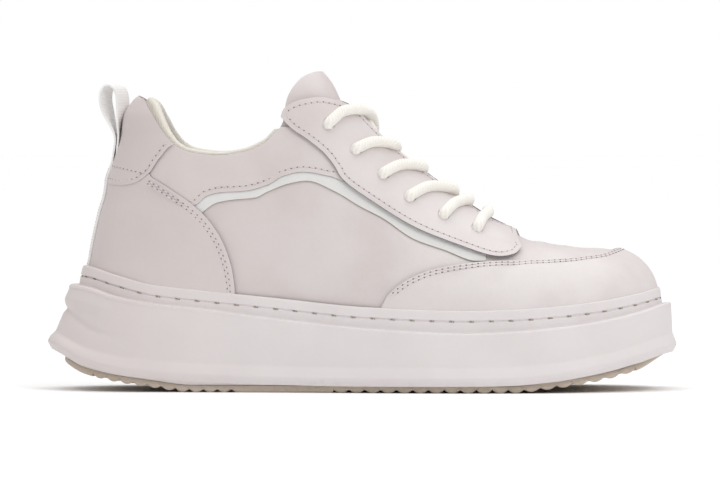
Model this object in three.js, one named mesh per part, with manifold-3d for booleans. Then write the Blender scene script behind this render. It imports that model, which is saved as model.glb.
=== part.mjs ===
// Platform sneaker, right foot.
// Millimetres. +X points to the toe, -Y is the outer (lateral) side, +Z is up.
// The tables count x from the rearmost point of the sole's lip. The finished shoe is moved so
// that its origin is the middle of the heel's flat spot on the floor.

import * as THREE from 'three';
import { mergeVertices } from 'three/addons/utils/BufferGeometryUtils.js';
import Module from 'manifold-3d';

const wasm = await Module();
wasm.setup();

// ---------------------------------------------------------------- driving dimensions

const SOLE_LENGTH = 280;
const HEEL_REST_X = 80;
const FIT_GAP = 0.35;
const CUP_GAP = 0.7;
const UPPER_WALL = 2.0;
const TOE_SHIFT = 6;
const TOE_SHIFT_START = 110;

// The last: the form that the upper is pulled over.
const LAST_HEEL_X = 19.2;
const LAST_TOE_X = 271.3;
const RIDGE_HEEL_X = 75;
const RIDGE_TOE_X = 240;
const LAST_HEEL_ROUND = 36;
const LAST_TOE_ROUND = 66;
const LAST_DROP = 16;
const STATIONS = 22;
const LEVELS = 8;

const OUTSOLE_THICK = 3.4;
const NOTCH_DEPTH = 1.9;
const HEEL_LUG_PITCH = 6.2;
const FORE_LUG_PITCH = 7;

const INSOLE_THICK = 4;
const TONGUE_THICK = 5.5;
const EYESTAY_THICK = 2.0;
const PANEL_THICK = 1.2;
const LINING_THICK = 4.2;
const EYELET_RADIUS = 2.3;
const LACE_RADIUS = 2.4;
const THROAT_HALF = 11;

// Half widths of the last at the feather line, and the fullness of its sections
// (2 is an ellipse, more is boxier).
const LAST_WIDTHS = [
  { x: 19, lateral: 33.5, medial: 33.0, fullness: 1.95 },
  { x: 55, lateral: 34.0, medial: 33.0, fullness: 1.95 },
  { x: 85, lateral: 34.5, medial: 32.0, fullness: 2.0 },
  { x: 115, lateral: 36.5, medial: 33.0, fullness: 2.0 },
  { x: 145, lateral: 41.0, medial: 37.5, fullness: 2.0 },
  { x: 175, lateral: 45.0, medial: 43.0, fullness: 2.05 },
  { x: 200, lateral: 46.5, medial: 45.5, fullness: 2.2 },
  { x: 225, lateral: 45.5, medial: 45.5, fullness: 2.45 },
  { x: 250, lateral: 42.5, medial: 43.5, fullness: 2.6 },
  { x: 272, lateral: 40.0, medial: 41.0, fullness: 2.6 },
];

// The ridge of the last, over instep and tongue, seen from the side.
const RIDGE = [
  { x: 75, z: 151 },
  { x: 106, z: 151 },
  { x: 122, z: 145 },
  { x: 135, z: 129.5 },
  { x: 148, z: 114.5 },
  { x: 160, z: 103.5 },
  { x: 175, z: 92.5 },
  { x: 190, z: 82.5 },
  { x: 203, z: 75.2 },
  { x: 215, z: 69.6 },
  { x: 230, z: 65.2 },
  { x: 240, z: 63.6 },
];

// Half widths of the sole at its lip.
const SOLE_WIDTHS = [
  { x: 0, lateral: 40.5, medial: 40.0 },
  { x: 45, lateral: 41.0, medial: 40.0 },
  { x: 85, lateral: 42.0, medial: 39.5 },
  { x: 115, lateral: 44.5, medial: 40.5 },
  { x: 145, lateral: 49.0, medial: 45.0 },
  { x: 175, lateral: 53.0, medial: 50.5 },
  { x: 200, lateral: 54.0, medial: 53.0 },
  { x: 225, lateral: 53.0, medial: 53.0 },
  { x: 250, lateral: 50.5, medial: 51.5 },
  { x: 280, lateral: 48.0, medial: 49.0 },
];
const SOLE_HEEL_ROUND = 44;
const SOLE_TOE_ROUND = 72;

// Heights of the sole's long lines: tread, lip, ledge, top of the wall, floor of the cup.
const SOLE_LINES = [
  { x: 0, tread: 14.0, lip: 21.4, ledge: 47.3, wall: 56.0, cup: 43.0 },
  { x: 18, tread: 7.4, lip: 14.6, ledge: 45.8, wall: 55.0, cup: 42.0 },
  { x: 33, tread: 4.2, lip: 11.0, ledge: 41.5, wall: 51.2, cup: 39.5 },
  { x: 49, tread: 2.0, lip: 9.2, ledge: 38.7, wall: 47.2, cup: 36.5 },
  { x: 66, tread: 0.0, lip: 7.9, ledge: 37.0, wall: 45.2, cup: 34.5 },
  { x: 100, tread: 0.0, lip: 6.7, ledge: 32.6, wall: 41.8, cup: 30.5 },
  { x: 145, tread: 0.0, lip: 6.1, ledge: 27.9, wall: 37.5, cup: 26.5 },
  { x: 187, tread: 0.0, lip: 6.2, ledge: 25.9, wall: 36.1, cup: 25.0 },
  { x: 206, tread: 0.0, lip: 6.5, ledge: 26.6, wall: 36.5, cup: 25.2 },
  { x: 226, tread: 1.9, lip: 8.2, ledge: 28.3, wall: 37.8, cup: 26.5 },
  { x: 245, tread: 4.8, lip: 11.4, ledge: 30.8, wall: 39.9, cup: 28.6 },
  { x: 262, tread: 9.2, lip: 15.6, ledge: 34.3, wall: 42.9, cup: 31.4 },
  { x: 280, tread: 17.5, lip: 20.2, ledge: 38.8, wall: 46.5, cup: 34.5 },
];

// Levels of the sole's side, from the tread up. "from" names the line a level is measured
// from; heel and side say how far it lies between the lip (0) and the upper (1).
const SOLE_LEVELS = [
  { name: 'base', from: 'tread', up: OUTSOLE_THICK, heel: 0.52, side: 0.42 },
  { name: 'under_lip', from: 'lip', up: -3.2, heel: 0.2, side: 0.2 },
  { name: 'lip_low', from: 'lip', up: -1.4, heel: 0.04, side: 0.05 },
  { name: 'lip_tip', from: 'lip', up: 0.0, heel: 0.0, side: 0.0 },
  { name: 'lip_top', from: 'lip', up: 2.4, heel: 0.06, side: 0.08 },
  { name: 'lip_back', from: 'lip', up: 5.2, heel: 0.19, side: 0.2 },
  { name: 'groove', from: 'ledge', up: -11.0, heel: 0.41, side: 0.21 },
  { name: 'band', from: 'ledge', up: -6.6, heel: 0.4, side: 0.23 },
  { name: 'ledge_under', from: 'ledge', up: -2.2, heel: 0.5, side: 0.26 },
  { name: 'ledge_rim', from: 'ledge', up: 0.0, heel: 0.56, side: 0.3 },
  { name: 'ledge_root', from: 'ledge', up: 0.2, heel: 0.8, side: 0.68 },
  { name: 'wall_face', from: 'wall', up: -1.0, heel: 0.9, side: 0.8 },
  { name: 'wall_edge', from: 'wall', up: 0.0, heel: 0.93, side: 0.86 },
];

// Top edge of the quarters round the collar, seen from the side.
const TOPLINE = [
  { x: 33, z: 129.0 },
  { x: 40, z: 130.0 },
  { x: 45, z: 127.6 },
  { x: 49, z: 121.2 },
  { x: 53.5, z: 113.8 },
  { x: 58.4, z: 108.6 },
  { x: 65, z: 105.5 },
  { x: 77, z: 104.0 },
  { x: 88, z: 105.4 },
  { x: 98, z: 109.6 },
  { x: 105, z: 115.5 },
];
const THROAT_TOP_Z = 124.6;
const THROAT_TOP_X = 104.6;
const THROAT_END_X = 203;

// Eyelets of one row, seen from the side, from the ankle down.
const EYELETS = [
  { x: 125.9, z: 117.5 },
  { x: 137.9, z: 106.0 },
  { x: 149.9, z: 95.0 },
  { x: 161.8, z: 84.9 },
  { x: 176.4, z: 76.8 },
  { x: 191.0, z: 70.6 },
];

// Lower edge of the eyestay, from the tab at the ankle to the tip on the vamp.
const EYESTAY_EDGE = [
  { x: 105.2, z: 120.4 },
  { x: 110.0, z: 115.4 },
  { x: 117.0, z: 110.6 },
  { x: 124.0, z: 104.9 },
  { x: 128.8, z: 98.8 },
  { x: 132.9, z: 92.7 },
  { x: 143.7, z: 84.6 },
  { x: 164.0, z: 72.0 },
  { x: 186.3, z: 62.8 },
  { x: 199.5, z: 58.6 },
  { x: 207.6, z: 59.2 },
  { x: 210.9, z: 62.0 },
];

// Front edge of the heel counter, from the sole up, and lower edge of the heel tab.
const COUNTER_EDGE = [
  { x: 85.6, z: 40.0 },
  { x: 84.5, z: 52.9 },
  { x: 80.9, z: 64.3 },
  { x: 74.9, z: 74.2 },
  { x: 67.5, z: 81.7 },
  { x: 54.4, z: 90.8 },
  { x: 47.3, z: 96.0 },
];
const TAB_EDGE = [
  { x: 47.3, z: 96.3 },
  { x: 39.9, z: 91.8 },
  { x: 33.0, z: 90.9 },
  { x: 20.0, z: 92.8 },
];

// Top edge of the toe mudguard.
const MUDGUARD_EDGE = [
  { x: 147.5, z: 34.0 },
  { x: 153.6, z: 43.2 },
  { x: 163.2, z: 50.2 },
  { x: 175.0, z: 54.3 },
  { x: 195.0, z: 56.8 },
  { x: 225.0, z: 57.3 },
  { x: 245.0, z: 58.9 },
  { x: 259.5, z: 62.4 },
];

// ---------------------------------------------------------------- numbers and curves

// A smooth curve through the rows of a table, which never swings past them.
function along(rows, column, x) {
  const last = rows.length - 1;
  if (x <= rows[0].x) return rows[0][column];
  if (x >= rows[last].x) return rows[last][column];
  let i = 0;
  while (x > rows[i + 1].x) i += 1;
  const slope = (k) => (rows[k + 1][column] - rows[k][column]) / (rows[k + 1].x - rows[k].x);
  const tangent = (k) => {
    if (k === 0 || k === last) return 0;
    const before = slope(k - 1);
    const after = slope(k);
    return before * after <= 0 ? 0 : (2 * before * after) / (before + after);
  };
  const width = rows[i + 1].x - rows[i].x;
  const t = (x - rows[i].x) / width;
  const rise = rows[i + 1][column] - rows[i][column];
  const start = tangent(i) * width;
  const end = tangent(i + 1) * width;
  return rows[i][column] + t * start
    + t * t * (3 * rise - 2 * start - end)
    + t * t * t * (start + end - 2 * rise);
}

function mix(a, b, t) {
  return a + (b - a) * t;
}

function smoothStep(t) {
  const c = Math.min(1, Math.max(0, t));
  return c * c * (3 - 2 * c);
}

// How wide an outline still is near its round heel and toe ends.
function roundEnds(x, heelX, toeX, heelRound, toeRound) {
  const heel = Math.min(1, Math.max(0, (x - heelX) / heelRound));
  const toe = Math.min(1, Math.max(0, (toeX - x) / toeRound));
  const heelPart = Math.sqrt(1 - (1 - heel) ** 2);
  const toePart = (1 - (1 - toe) ** 2.25) ** (1 / 2.25);
  return heelPart * toePart;
}

// The centre line bends inwards (to the big toe) in front of the waist.
function centreY(x) {
  return TOE_SHIFT * smoothStep((x - TOE_SHIFT_START) / (SOLE_LENGTH - TOE_SHIFT_START));
}

function sideOf(side) {
  return side < 0 ? 'lateral' : 'medial';
}

// ---------------------------------------------------------------- the last

// A section of the last at a fraction of its length: from its outline to its ridge.
function lastSection(fraction, side, grow = 0) {
  const x = mix(LAST_HEEL_X - grow, LAST_TOE_X + grow, fraction);
  const ends = roundEnds(x, LAST_HEEL_X - grow, LAST_TOE_X + grow, LAST_HEEL_ROUND, LAST_TOE_ROUND);
  return {
    x,
    y: (along(LAST_WIDTHS, sideOf(side), x) + grow) * ends * side,
    foot: along(SOLE_LINES, 'cup', x),
    ridgeX: mix(RIDGE_HEEL_X, RIDGE_TOE_X, fraction),
    fullness: along(LAST_WIDTHS, 'fullness', x),
  };
}

// A point of the last's surface. out is 1 at the outline and 0 on the ridge.
function lastPoint(section, out) {
  const height = (1 - out ** section.fullness) ** (1 / section.fullness);
  const x = mix(section.ridgeX, section.x, out);
  return new THREE.Vector3(
    x,
    centreY(x) + section.y * out,
    mix(section.foot, along(RIDGE, 'z', x), height),
  );
}

// Where the last's side is at a given x and z, seen from the side.
function lastSide(x, z, side) {
  let low = 0;
  let high = 1;
  let point = null;
  for (let step = 0; step < 40; step += 1) {
    const out = (low + high) / 2;
    const start = mix(RIDGE_HEEL_X, LAST_HEEL_X, out);
    const end = mix(RIDGE_TOE_X, LAST_TOE_X, out);
    point = lastPoint(lastSection((x - start) / (end - start), side), out);
    if (point.z > z) low = out;
    else high = out;
  }
  return point;
}

// How high the last's top is at a given x and y, seen from above.
function lastTop(x, y) {
  const side = y < centreY(x) ? -1 : 1;
  let low = 0;
  let high = 1;
  let point = null;
  for (let step = 0; step < 40; step += 1) {
    const out = (low + high) / 2;
    const start = mix(RIDGE_HEEL_X, LAST_HEEL_X, out);
    const end = mix(RIDGE_TOE_X, LAST_TOE_X, out);
    point = lastPoint(lastSection((x - start) / (end - start), side), out);
    if (Math.abs(point.y - centreY(x)) < Math.abs(y - centreY(x))) low = out;
    else high = out;
  }
  return point;
}

// The outward direction of the last's side at a given x and z.
function lastNormal(x, z, side) {
  const step = 0.5;
  const here = lastSide(x, z, side);
  const ahead = lastSide(x + step, z, side).sub(here);
  const above = lastSide(x, z + step, side).sub(here);
  const normal = new THREE.Vector3().crossVectors(ahead, above).normalize();
  return normal.y * side < 0 ? normal.negate() : normal;
}

// The last's outline at the height of a sole line, for the cup that holds it.
function lastOutline(fraction, side, line, grow) {
  const section = lastSection(fraction, side, grow);
  const ridgeZ = along(RIDGE, 'z', section.x);
  const rise = (along(SOLE_LINES, line, section.x) - section.foot) / (ridgeZ - section.foot);
  const out = (1 - Math.max(0, rise) ** section.fullness) ** (1 / section.fullness);
  return lastPoint(section, out);
}

// ---------------------------------------------------------------- meshes and solids

// Fractions of the length, closer together at the round ends.
function stationFractions(count) {
  return Array.from({ length: count + 1 }, (_, i) => (1 - Math.cos((Math.PI * i) / count)) / 2);
}

// One closed ring: heel, lateral side, toe, medial side.
function ring(fractions, pointAt) {
  const lateral = fractions.map((fraction) => pointAt(fraction, -1));
  const medial = fractions.slice(1, -1).reverse().map((fraction) => pointAt(fraction, 1));
  return [...lateral, ...medial];
}

// Faces between neighbouring rings, which are listed from below to above.
function wallFaces(ringCount, size) {
  const faces = [];
  for (let level = 0; level + 1 < ringCount; level += 1) {
    for (let i = 0; i < size; i += 1) {
      const a = level * size + i;
      const b = level * size + ((i + 1) % size);
      faces.push(a, b, b + size, a, b + size, a + size);
    }
  }
  return faces;
}

// Faces across one ring, from side to side.
function capFaces(start, size, upwards) {
  const half = size / 2;
  const faces = [];
  const add = (a, b, c) => faces.push(start + a, start + (upwards ? b : c), start + (upwards ? c : b));
  add(0, 1, size - 1);
  for (let i = 1; i < half - 1; i += 1) {
    add(i, i + 1, size - i - 1);
    add(i, size - i - 1, size - i);
  }
  add(half - 1, half, half + 1);
  return faces;
}

function geometryOf(points, faces) {
  const geometry = new THREE.BufferGeometry();
  const positions = points.flatMap((point) => [point.x, point.y, point.z]);
  geometry.setAttribute('position', new THREE.Float32BufferAttribute(positions, 3));
  geometry.setIndex(faces);
  return geometry;
}

function merged(geometry) {
  geometry.deleteAttribute('normal');
  geometry.deleteAttribute('uv');
  return mergeVertices(geometry, 1e-4);
}

function solidOf(geometry) {
  const clean = merged(geometry);
  return new wasm.Manifold(new wasm.Mesh({
    numProp: 3,
    vertProperties: new Float32Array(clean.attributes.position.array),
    triVerts: new Uint32Array(clean.index.array),
  }));
}

function geometryFrom(solid) {
  const mesh = solid.getMesh();
  const geometry = new THREE.BufferGeometry();
  geometry.setAttribute('position', new THREE.BufferAttribute(new Float32Array(mesh.vertProperties), 3));
  geometry.setIndex(new THREE.BufferAttribute(new Uint32Array(mesh.triVerts), 1));
  const flat = geometry.toNonIndexed();
  flat.computeVertexNormals();
  return flat;
}

// A closed loft of rings, capped below and above.
function ringLoft(rings) {
  const size = rings[0].length;
  const faces = [
    ...wallFaces(rings.length, size),
    ...capFaces(0, size, false),
    ...capFaces((rings.length - 1) * size, size, true),
  ];
  return solidOf(geometryOf(rings.flat(), faces));
}

// The last grown outwards (or shrunk) along its own normals, as a closed solid.
function lastForm(grow) {
  const fractions = stationFractions(STATIONS);
  const rings = [];
  rings.push(ring(fractions, (fraction, side) => {
    const section = lastSection(fraction, side);
    return lastPoint(section, 1).add(new THREE.Vector3(0, 0, -LAST_DROP));
  }));
  for (let level = 0; level <= LEVELS; level += 1) {
    const out = Math.cos((Math.PI / 2) * (level / LEVELS));
    const at = level === LEVELS ? 0 : out;
    rings.push(ring(fractions, (fraction, side) => lastPoint(lastSection(fraction, side), at)));
  }
  const size = rings[0].length;
  const walls = wallFaces(rings.length, size);
  const surface = merged(geometryOf(rings.flat(), [...walls, ...capFaces(0, size, false)]));
  const openSurface = surface.clone();
  openSurface.setIndex([...surface.index.array.slice(0, walls.length)]);
  openSurface.computeVertexNormals();
  const position = surface.attributes.position;
  const normal = openSurface.attributes.normal;
  for (let i = 0; i < position.count; i += 1) {
    position.setXYZ(
      i,
      position.getX(i) + normal.getX(i) * grow,
      position.getY(i) + normal.getY(i) * grow,
      position.getZ(i) + normal.getZ(i) * grow,
    );
  }
  return solidOf(surface);
}

// The space between two sizes of the last.
function lastLayer(outer, inner) {
  return lastForm(outer).subtract(lastForm(inner));
}

// A prism whose outline is drawn from the side (x, z) and that runs from one y to another.
function sidePrism(points, yFrom, yTo) {
  const shape = new THREE.Shape(points.map((point) => new THREE.Vector2(point.x, point.z)));
  const geometry = new THREE.ExtrudeGeometry(shape, { depth: yTo - yFrom, bevelEnabled: false });
  geometry.rotateX(Math.PI / 2);
  geometry.translate(0, yTo, 0);
  return solidOf(geometry);
}

// A prism whose outline is drawn from above (x, y).
function planPrism(points, zFrom, zTo) {
  const shape = new THREE.Shape(points.map((point) => new THREE.Vector2(point.x, point.y)));
  const geometry = new THREE.ExtrudeGeometry(shape, { depth: zTo - zFrom, bevelEnabled: false });
  geometry.translate(0, 0, zFrom);
  return solidOf(geometry);
}

// A smooth edge through the rows of a side-view table.
function smoothEdge(rows, count) {
  const curve = new THREE.SplineCurve(rows.map((row) => new THREE.Vector2(row.x, row.z)));
  return curve.getSpacedPoints(count).map((point) => ({ x: point.x, z: point.y }));
}

// ---------------------------------------------------------------- sole

const MANY = 400;

function soleOutline(fraction, side) {
  const x = SOLE_LENGTH * fraction;
  const ends = roundEnds(x, 0, SOLE_LENGTH, SOLE_HEEL_ROUND, SOLE_TOE_ROUND);
  const width = along(SOLE_WIDTHS, sideOf(side), x);
  return new THREE.Vector3(x, centreY(x) + width * ends * side, 0);
}

// How much a place belongs to the flared back of the heel.
function heelShare(x) {
  return 1 - smoothStep((x - 4) / 40);
}

function solePoint(fraction, side, level) {
  const lip = soleOutline(fraction, side);
  const inner = lastOutline(fraction, side, 'wall', CUP_GAP);
  const share = mix(level.side, level.heel, heelShare(lip.x));
  const point = lip.lerp(new THREE.Vector3(inner.x, inner.y, 0), share);
  point.z = along(SOLE_LINES, level.from, point.x) + level.up;
  return point;
}

function cupPoint(fraction, side, line) {
  const point = lastOutline(fraction, side, line, CUP_GAP);
  point.z = along(SOLE_LINES, line, point.x);
  return point;
}

function makeCupsole() {
  const fractions = stationFractions(STATIONS);
  const outside = SOLE_LEVELS.map((level) => ring(fractions, (f, side) => solePoint(f, side, level)));
  const inside = ['wall', 'cup'].map((line) => ring(fractions, (f, side) => cupPoint(f, side, line)));
  return ringLoft([...outside, ...inside]);
}

// Stretches of the tread that carry edge lugs.
const LUG_RUNS = [
  { from: 24, to: 86, pitch: HEEL_LUG_PITCH },
  { from: 129, to: 262, pitch: FORE_LUG_PITCH },
];

// 1 in a notch between two lugs, 0 on a lug.
function notchAt(x) {
  const run = LUG_RUNS.find((row) => x >= row.from && x <= row.to);
  if (!run) return 0;
  const phase = ((x - run.from) / run.pitch) % 1;
  return phase > 0.55 && phase < 0.95 ? 1 : 0;
}

// Stations of the tread: plain steps, and two on each side of every notch.
function treadFractions(heelX, toeX) {
  const places = stationFractions(20).map((fraction) => mix(heelX, toeX, fraction));
  const clear = places.filter((x) => !LUG_RUNS.some((run) => x > run.from - 1 && x < run.to + 1));
  for (const run of LUG_RUNS) {
    const lugs = Math.round((run.to - run.from) / run.pitch);
    for (let lug = 0; lug < lugs; lug += 1) {
      for (const phase of [0.0, 0.5, 0.6, 0.9]) clear.push(run.from + (lug + phase) * run.pitch);
    }
  }
  return clear.sort((a, b) => a - b).map((x) => (x - heelX) / (toeX - heelX));
}

// A point of the tread, set in from the sole's base outline by a width.
function treadPoint(fraction, side, inset, up, notched) {
  const base = solePoint(fraction, side, SOLE_LEVELS[0]);
  const centre = centreY(base.x);
  const reach = Math.max(0, Math.abs(base.y - centre) - inset);
  const x = mix(base.x, SOLE_LENGTH / 2, inset / (SOLE_LENGTH / 2));
  const tread = along(SOLE_LINES, 'tread', x);
  const notch = notched ? notchAt(SOLE_LENGTH * fraction) * NOTCH_DEPTH : 0;
  return new THREE.Vector3(x, centreY(x) + reach * side, tread + up + notch);
}

function makeOutsole() {
  const fractions = treadFractions(0, SOLE_LENGTH);
  const rings = [
    ring(fractions, (f, side) => treadPoint(f, side, 13, 0, false)),
    ring(fractions, (f, side) => treadPoint(f, side, 11.5, 0, true)),
    ring(fractions, (f, side) => treadPoint(f, side, 0.4, 0, true)),
    ring(fractions, (f, side) => treadPoint(f, side, 0.2, OUTSOLE_THICK - FIT_GAP, false)),
  ];
  return ringLoft(rings);
}

function makeInsole() {
  const fractions = stationFractions(STATIONS);
  const edge = -UPPER_WALL - FIT_GAP;
  const layer = (up, grow) => ring(fractions, (f, side) => {
    const point = lastOutline(f, side, 'cup', grow);
    point.z = along(SOLE_LINES, 'cup', point.x) + up;
    return point;
  });
  return ringLoft([
    layer(FIT_GAP, edge - 0.6),
    layer(INSOLE_THICK, edge - 0.4),
    layer(INSOLE_THICK + FIT_GAP, edge - 1.6),
  ]);
}

// ---------------------------------------------------------------- cutters

// Everything below the floor of the cup.
function belowCup() {
  const floor = [];
  for (let x = 0; x <= SOLE_LENGTH; x += 10) {
    floor.push({ x, z: along(SOLE_LINES, 'cup', x) + FIT_GAP });
  }
  return sidePrism([{ x: -20, z: floor[0].z }, ...floor, { x: 300, z: 34 }, { x: 300, z: 0 }, { x: -20, z: 0 }],
    -MANY, MANY);
}

// The part of a panel's region that the sole's wall leaves in sight.
function aboveWall() {
  const edge = [];
  for (let x = 0; x <= SOLE_LENGTH; x += 10) {
    edge.push({ x, z: along(SOLE_LINES, 'wall', x) + FIT_GAP });
  }
  return sidePrism([{ x: -20, z: edge[0].z }, ...edge, { x: 300, z: 46.5 }, { x: 300, z: 200 }, { x: -20, z: 200 }],
    -MANY, MANY);
}

// The foot's way in: above the topline, raised or lowered by a height.
function collarOpening(raise = 0) {
  const edge = smoothEdge(TOPLINE, 16).map((point) => ({ x: point.x, z: point.z + raise }));
  return sidePrism([
    { x: 0, z: edge[0].z },
    ...edge,
    { x: THROAT_TOP_X, z: THROAT_TOP_Z },
    { x: 140, z: THROAT_TOP_Z + 1 },
    { x: 140, z: 200 },
    { x: 0, z: 200 },
  ], -MANY, MANY);
}

// The slot between the two eyestays, widest at the ankle, with a round end on the vamp.
function throatSlot(half) {
  const left = [];
  const right = [];
  for (let step = 0; step <= 10; step += 1) {
    const x = mix(95, THROAT_END_X - half, step / 10);
    left.push({ x, y: centreY(x) - half });
    right.push({ x, y: centreY(x) + half });
  }
  const centre = centreY(THROAT_END_X);
  const end = [];
  for (let step = 1; step < 8; step += 1) {
    const angle = -Math.PI / 2 + (Math.PI * step) / 8;
    end.push({ x: THROAT_END_X - half + Math.cos(angle) * half, y: centre + Math.sin(angle) * half });
  }
  return planPrism([...left, ...end, ...right.reverse()], 0, 200);
}

// Straight punches through both rows of eyelets.
function eyeletPunches(side) {
  return EYELETS.map((row) => {
    const centre = lastSide(row.x, row.z, side);
    const normal = lastNormal(row.x, row.z, side);
    const punch = new THREE.CylinderGeometry(EYELET_RADIUS, EYELET_RADIUS, 16, 8);
    punch.applyQuaternion(new THREE.Quaternion().setFromUnitVectors(new THREE.Vector3(0, 1, 0), normal));
    punch.translate(centre.x, centre.y, centre.z);
    return solidOf(punch);
  });
}

function cutAll(solid, cutters) {
  return cutters.reduce((rest, cutter) => rest.subtract(cutter), solid);
}

// ---------------------------------------------------------------- upper and its pieces

function makeUpper() {
  const shell = lastLayer(0, -UPPER_WALL);
  return cutAll(shell, [
    belowCup(),
    collarOpening(),
    throatSlot(THROAT_HALF),
    ...eyeletPunches(-1),
    ...eyeletPunches(1),
  ]);
}

function makeTongue() {
  const outer = -UPPER_WALL - FIT_GAP - 0.2;
  const sheet = lastLayer(outer, outer - TONGUE_THICK);
  const fromAbove = planPrism([
    { x: 100, y: -29 },
    { x: 150, y: -24 + centreY(150) },
    { x: 212, y: -16 + centreY(212) },
    { x: 212, y: 16 + centreY(212) },
    { x: 150, y: 24 + centreY(150) },
    { x: 100, y: 29 },
  ], 0, 200);
  const fromSide = sidePrism([
    { x: 106.2, z: 100 },
    ...smoothEdge([
      { x: 106.2, z: 122 },
      { x: 107.4, z: 129 },
      { x: 110.4, z: 134.6 },
      { x: 116, z: 139.6 },
      { x: 122.4, z: 141.4 },
    ], 8),
    { x: 160, z: 141.4 },
    { x: 212, z: 80 },
    { x: 212, z: 40 },
    { x: 106.2, z: 40 },
  ], -MANY, MANY);
  return sheet.intersect(fromAbove).intersect(fromSide);
}

// One eyestay: a thick strip along the throat with its own wavy lower edge.
function makeEyestay(side) {
  const layer = lastLayer(FIT_GAP + EYESTAY_THICK, FIT_GAP);
  const outline = [
    ...smoothEdge(EYESTAY_EDGE, 24),
    { x: 209, z: 68 },
    { x: 205, z: 90 },
    { x: 150, z: 140 },
    { x: 128, z: THROAT_TOP_Z + 0.6 },
    { x: 107, z: THROAT_TOP_Z - 0.8 },
  ];
  const region = side < 0 ? sidePrism(outline, -MANY, 0) : sidePrism(outline, 0, MANY);
  return cutAll(layer.intersect(region), [throatSlot(THROAT_HALF - 0.3), ...eyeletPunches(side)]);
}

// Heel counter: the panel round the back of the heel, below the tab.
function makeHeelCounter() {
  const layer = lastLayer(FIT_GAP + PANEL_THICK, FIT_GAP);
  const region = sidePrism([
    { x: 0, z: 30 },
    ...smoothEdge(COUNTER_EDGE, 12),
    ...smoothEdge(TAB_EDGE, 6).map((point) => ({ x: point.x, z: point.z - FIT_GAP * 2 })),
    { x: 0, z: 93 },
  ], -MANY, MANY);
  return layer.intersect(region).intersect(aboveWall());
}

// Heel tab: the saddle over the counter that carries the collar.
function makeHeelTab() {
  const layer = lastLayer(FIT_GAP + PANEL_THICK + 0.3, FIT_GAP);
  const region = sidePrism([
    ...smoothEdge(TAB_EDGE, 6).reverse(),
    { x: 51.5, z: 102.5 },
    { x: 58.2, z: 108.4 },
    { x: 58.2, z: 150 },
    { x: 0, z: 150 },
    { x: 0, z: 93 },
  ], -MANY, MANY);
  return layer.intersect(region).subtract(collarOpening());
}

// Toe mudguard: the low panel that wraps the whole toe.
function makeToeMudguard() {
  const layer = lastLayer(FIT_GAP + PANEL_THICK, FIT_GAP);
  const region = sidePrism([
    ...smoothEdge(MUDGUARD_EDGE, 14),
    { x: 262, z: 90 },
    { x: 300, z: 90 },
    { x: 300, z: 20 },
    { x: 147.5, z: 20 },
  ], -MANY, MANY);
  return layer.intersect(region).intersect(aboveWall());
}

// Padded collar lining, which rolls a little above the topline.
function makeCollarLining() {
  const outer = -UPPER_WALL - FIT_GAP;
  const layer = lastLayer(outer, outer - LINING_THICK);
  const edge = smoothEdge(TOPLINE, 16);
  const top = edge.filter((point) => point.x < 102).map((point) => ({ x: point.x, z: point.z + 2.4 }));
  const bottom = top.map((point) => ({ x: point.x, z: point.z - 24 })).reverse();
  const band = sidePrism([{ x: 10, z: 131.4 }, ...top, ...bottom, { x: 10, z: 106 }], -MANY, MANY);
  return layer.intersect(band);
}

// ---------------------------------------------------------------- pull loop

const LOOP_WIDTH = 11;

function makePullLoop() {
  const outside = new THREE.SplineCurve([
    new THREE.Vector2(23.4, 101.0),
    new THREE.Vector2(26.2, 111.6),
    new THREE.Vector2(22.8, 122.0),
    new THREE.Vector2(22.4, 131.0),
    new THREE.Vector2(27.4, 136.6),
    new THREE.Vector2(32.4, 134.2),
    new THREE.Vector2(32.6, 124.0),
    new THREE.Vector2(29.6, 111.6),
    new THREE.Vector2(26.2, 101.0),
  ]);
  const inside = new THREE.SplineCurve([
    new THREE.Vector2(28.0, 113.0),
    new THREE.Vector2(24.5, 122.4),
    new THREE.Vector2(24.1, 130.8),
    new THREE.Vector2(27.4, 134.9),
    new THREE.Vector2(30.8, 133.0),
    new THREE.Vector2(31.0, 124.2),
    new THREE.Vector2(28.0, 113.0),
  ]);
  const shape = new THREE.Shape(outside.getSpacedPoints(26).reverse());
  shape.holes.push(new THREE.Path(inside.getSpacedPoints(18).slice(0, -1)));
  const geometry = new THREE.ExtrudeGeometry(shape, { depth: LOOP_WIDTH, bevelEnabled: false });
  geometry.rotateX(Math.PI / 2);
  geometry.translate(0, LOOP_WIDTH / 2, 0);
  return solidOf(geometry);
}

// ---------------------------------------------------------------- lace

function laceTube(points, steps) {
  const section = new THREE.Shape();
  section.absarc(0, 0, LACE_RADIUS, 0, Math.PI * 2);
  const path = new THREE.CatmullRomCurve3(points);
  const outline = new THREE.Shape(section.getSpacedPoints(8).slice(0, -1));
  return solidOf(new THREE.ExtrudeGeometry(outline, { steps, extrudePath: path, bevelEnabled: false }));
}

const OVER_EYESTAY = FIT_GAP + EYESTAY_THICK + FIT_GAP + LACE_RADIUS;
const LACE_SLACK = 0.7;
const CROSS_HUMP = 1.6;
const TOP_HUMP = 3.8;
const DIVE_AHEAD = 3;
const BAR_CLEARANCE = 2;

function aboveEyelet(row, side) {
  return lastSide(row.x, row.z, side).addScaledVector(lastNormal(row.x, row.z, side), OVER_EYESTAY);
}

// A point above the last's top, y measured from the centre line.
function aboveTop(x, y, rise) {
  const step = 0.5;
  const here = lastTop(x, centreY(x) + y);
  const slopeX = (lastTop(x + step, centreY(x) + y).z - here.z) / step;
  const slopeY = (lastTop(x, centreY(x) + y + step).z - here.z) / step;
  return here.addScaledVector(new THREE.Vector3(-slopeX, -slopeY, 1).normalize(), rise);
}

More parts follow.
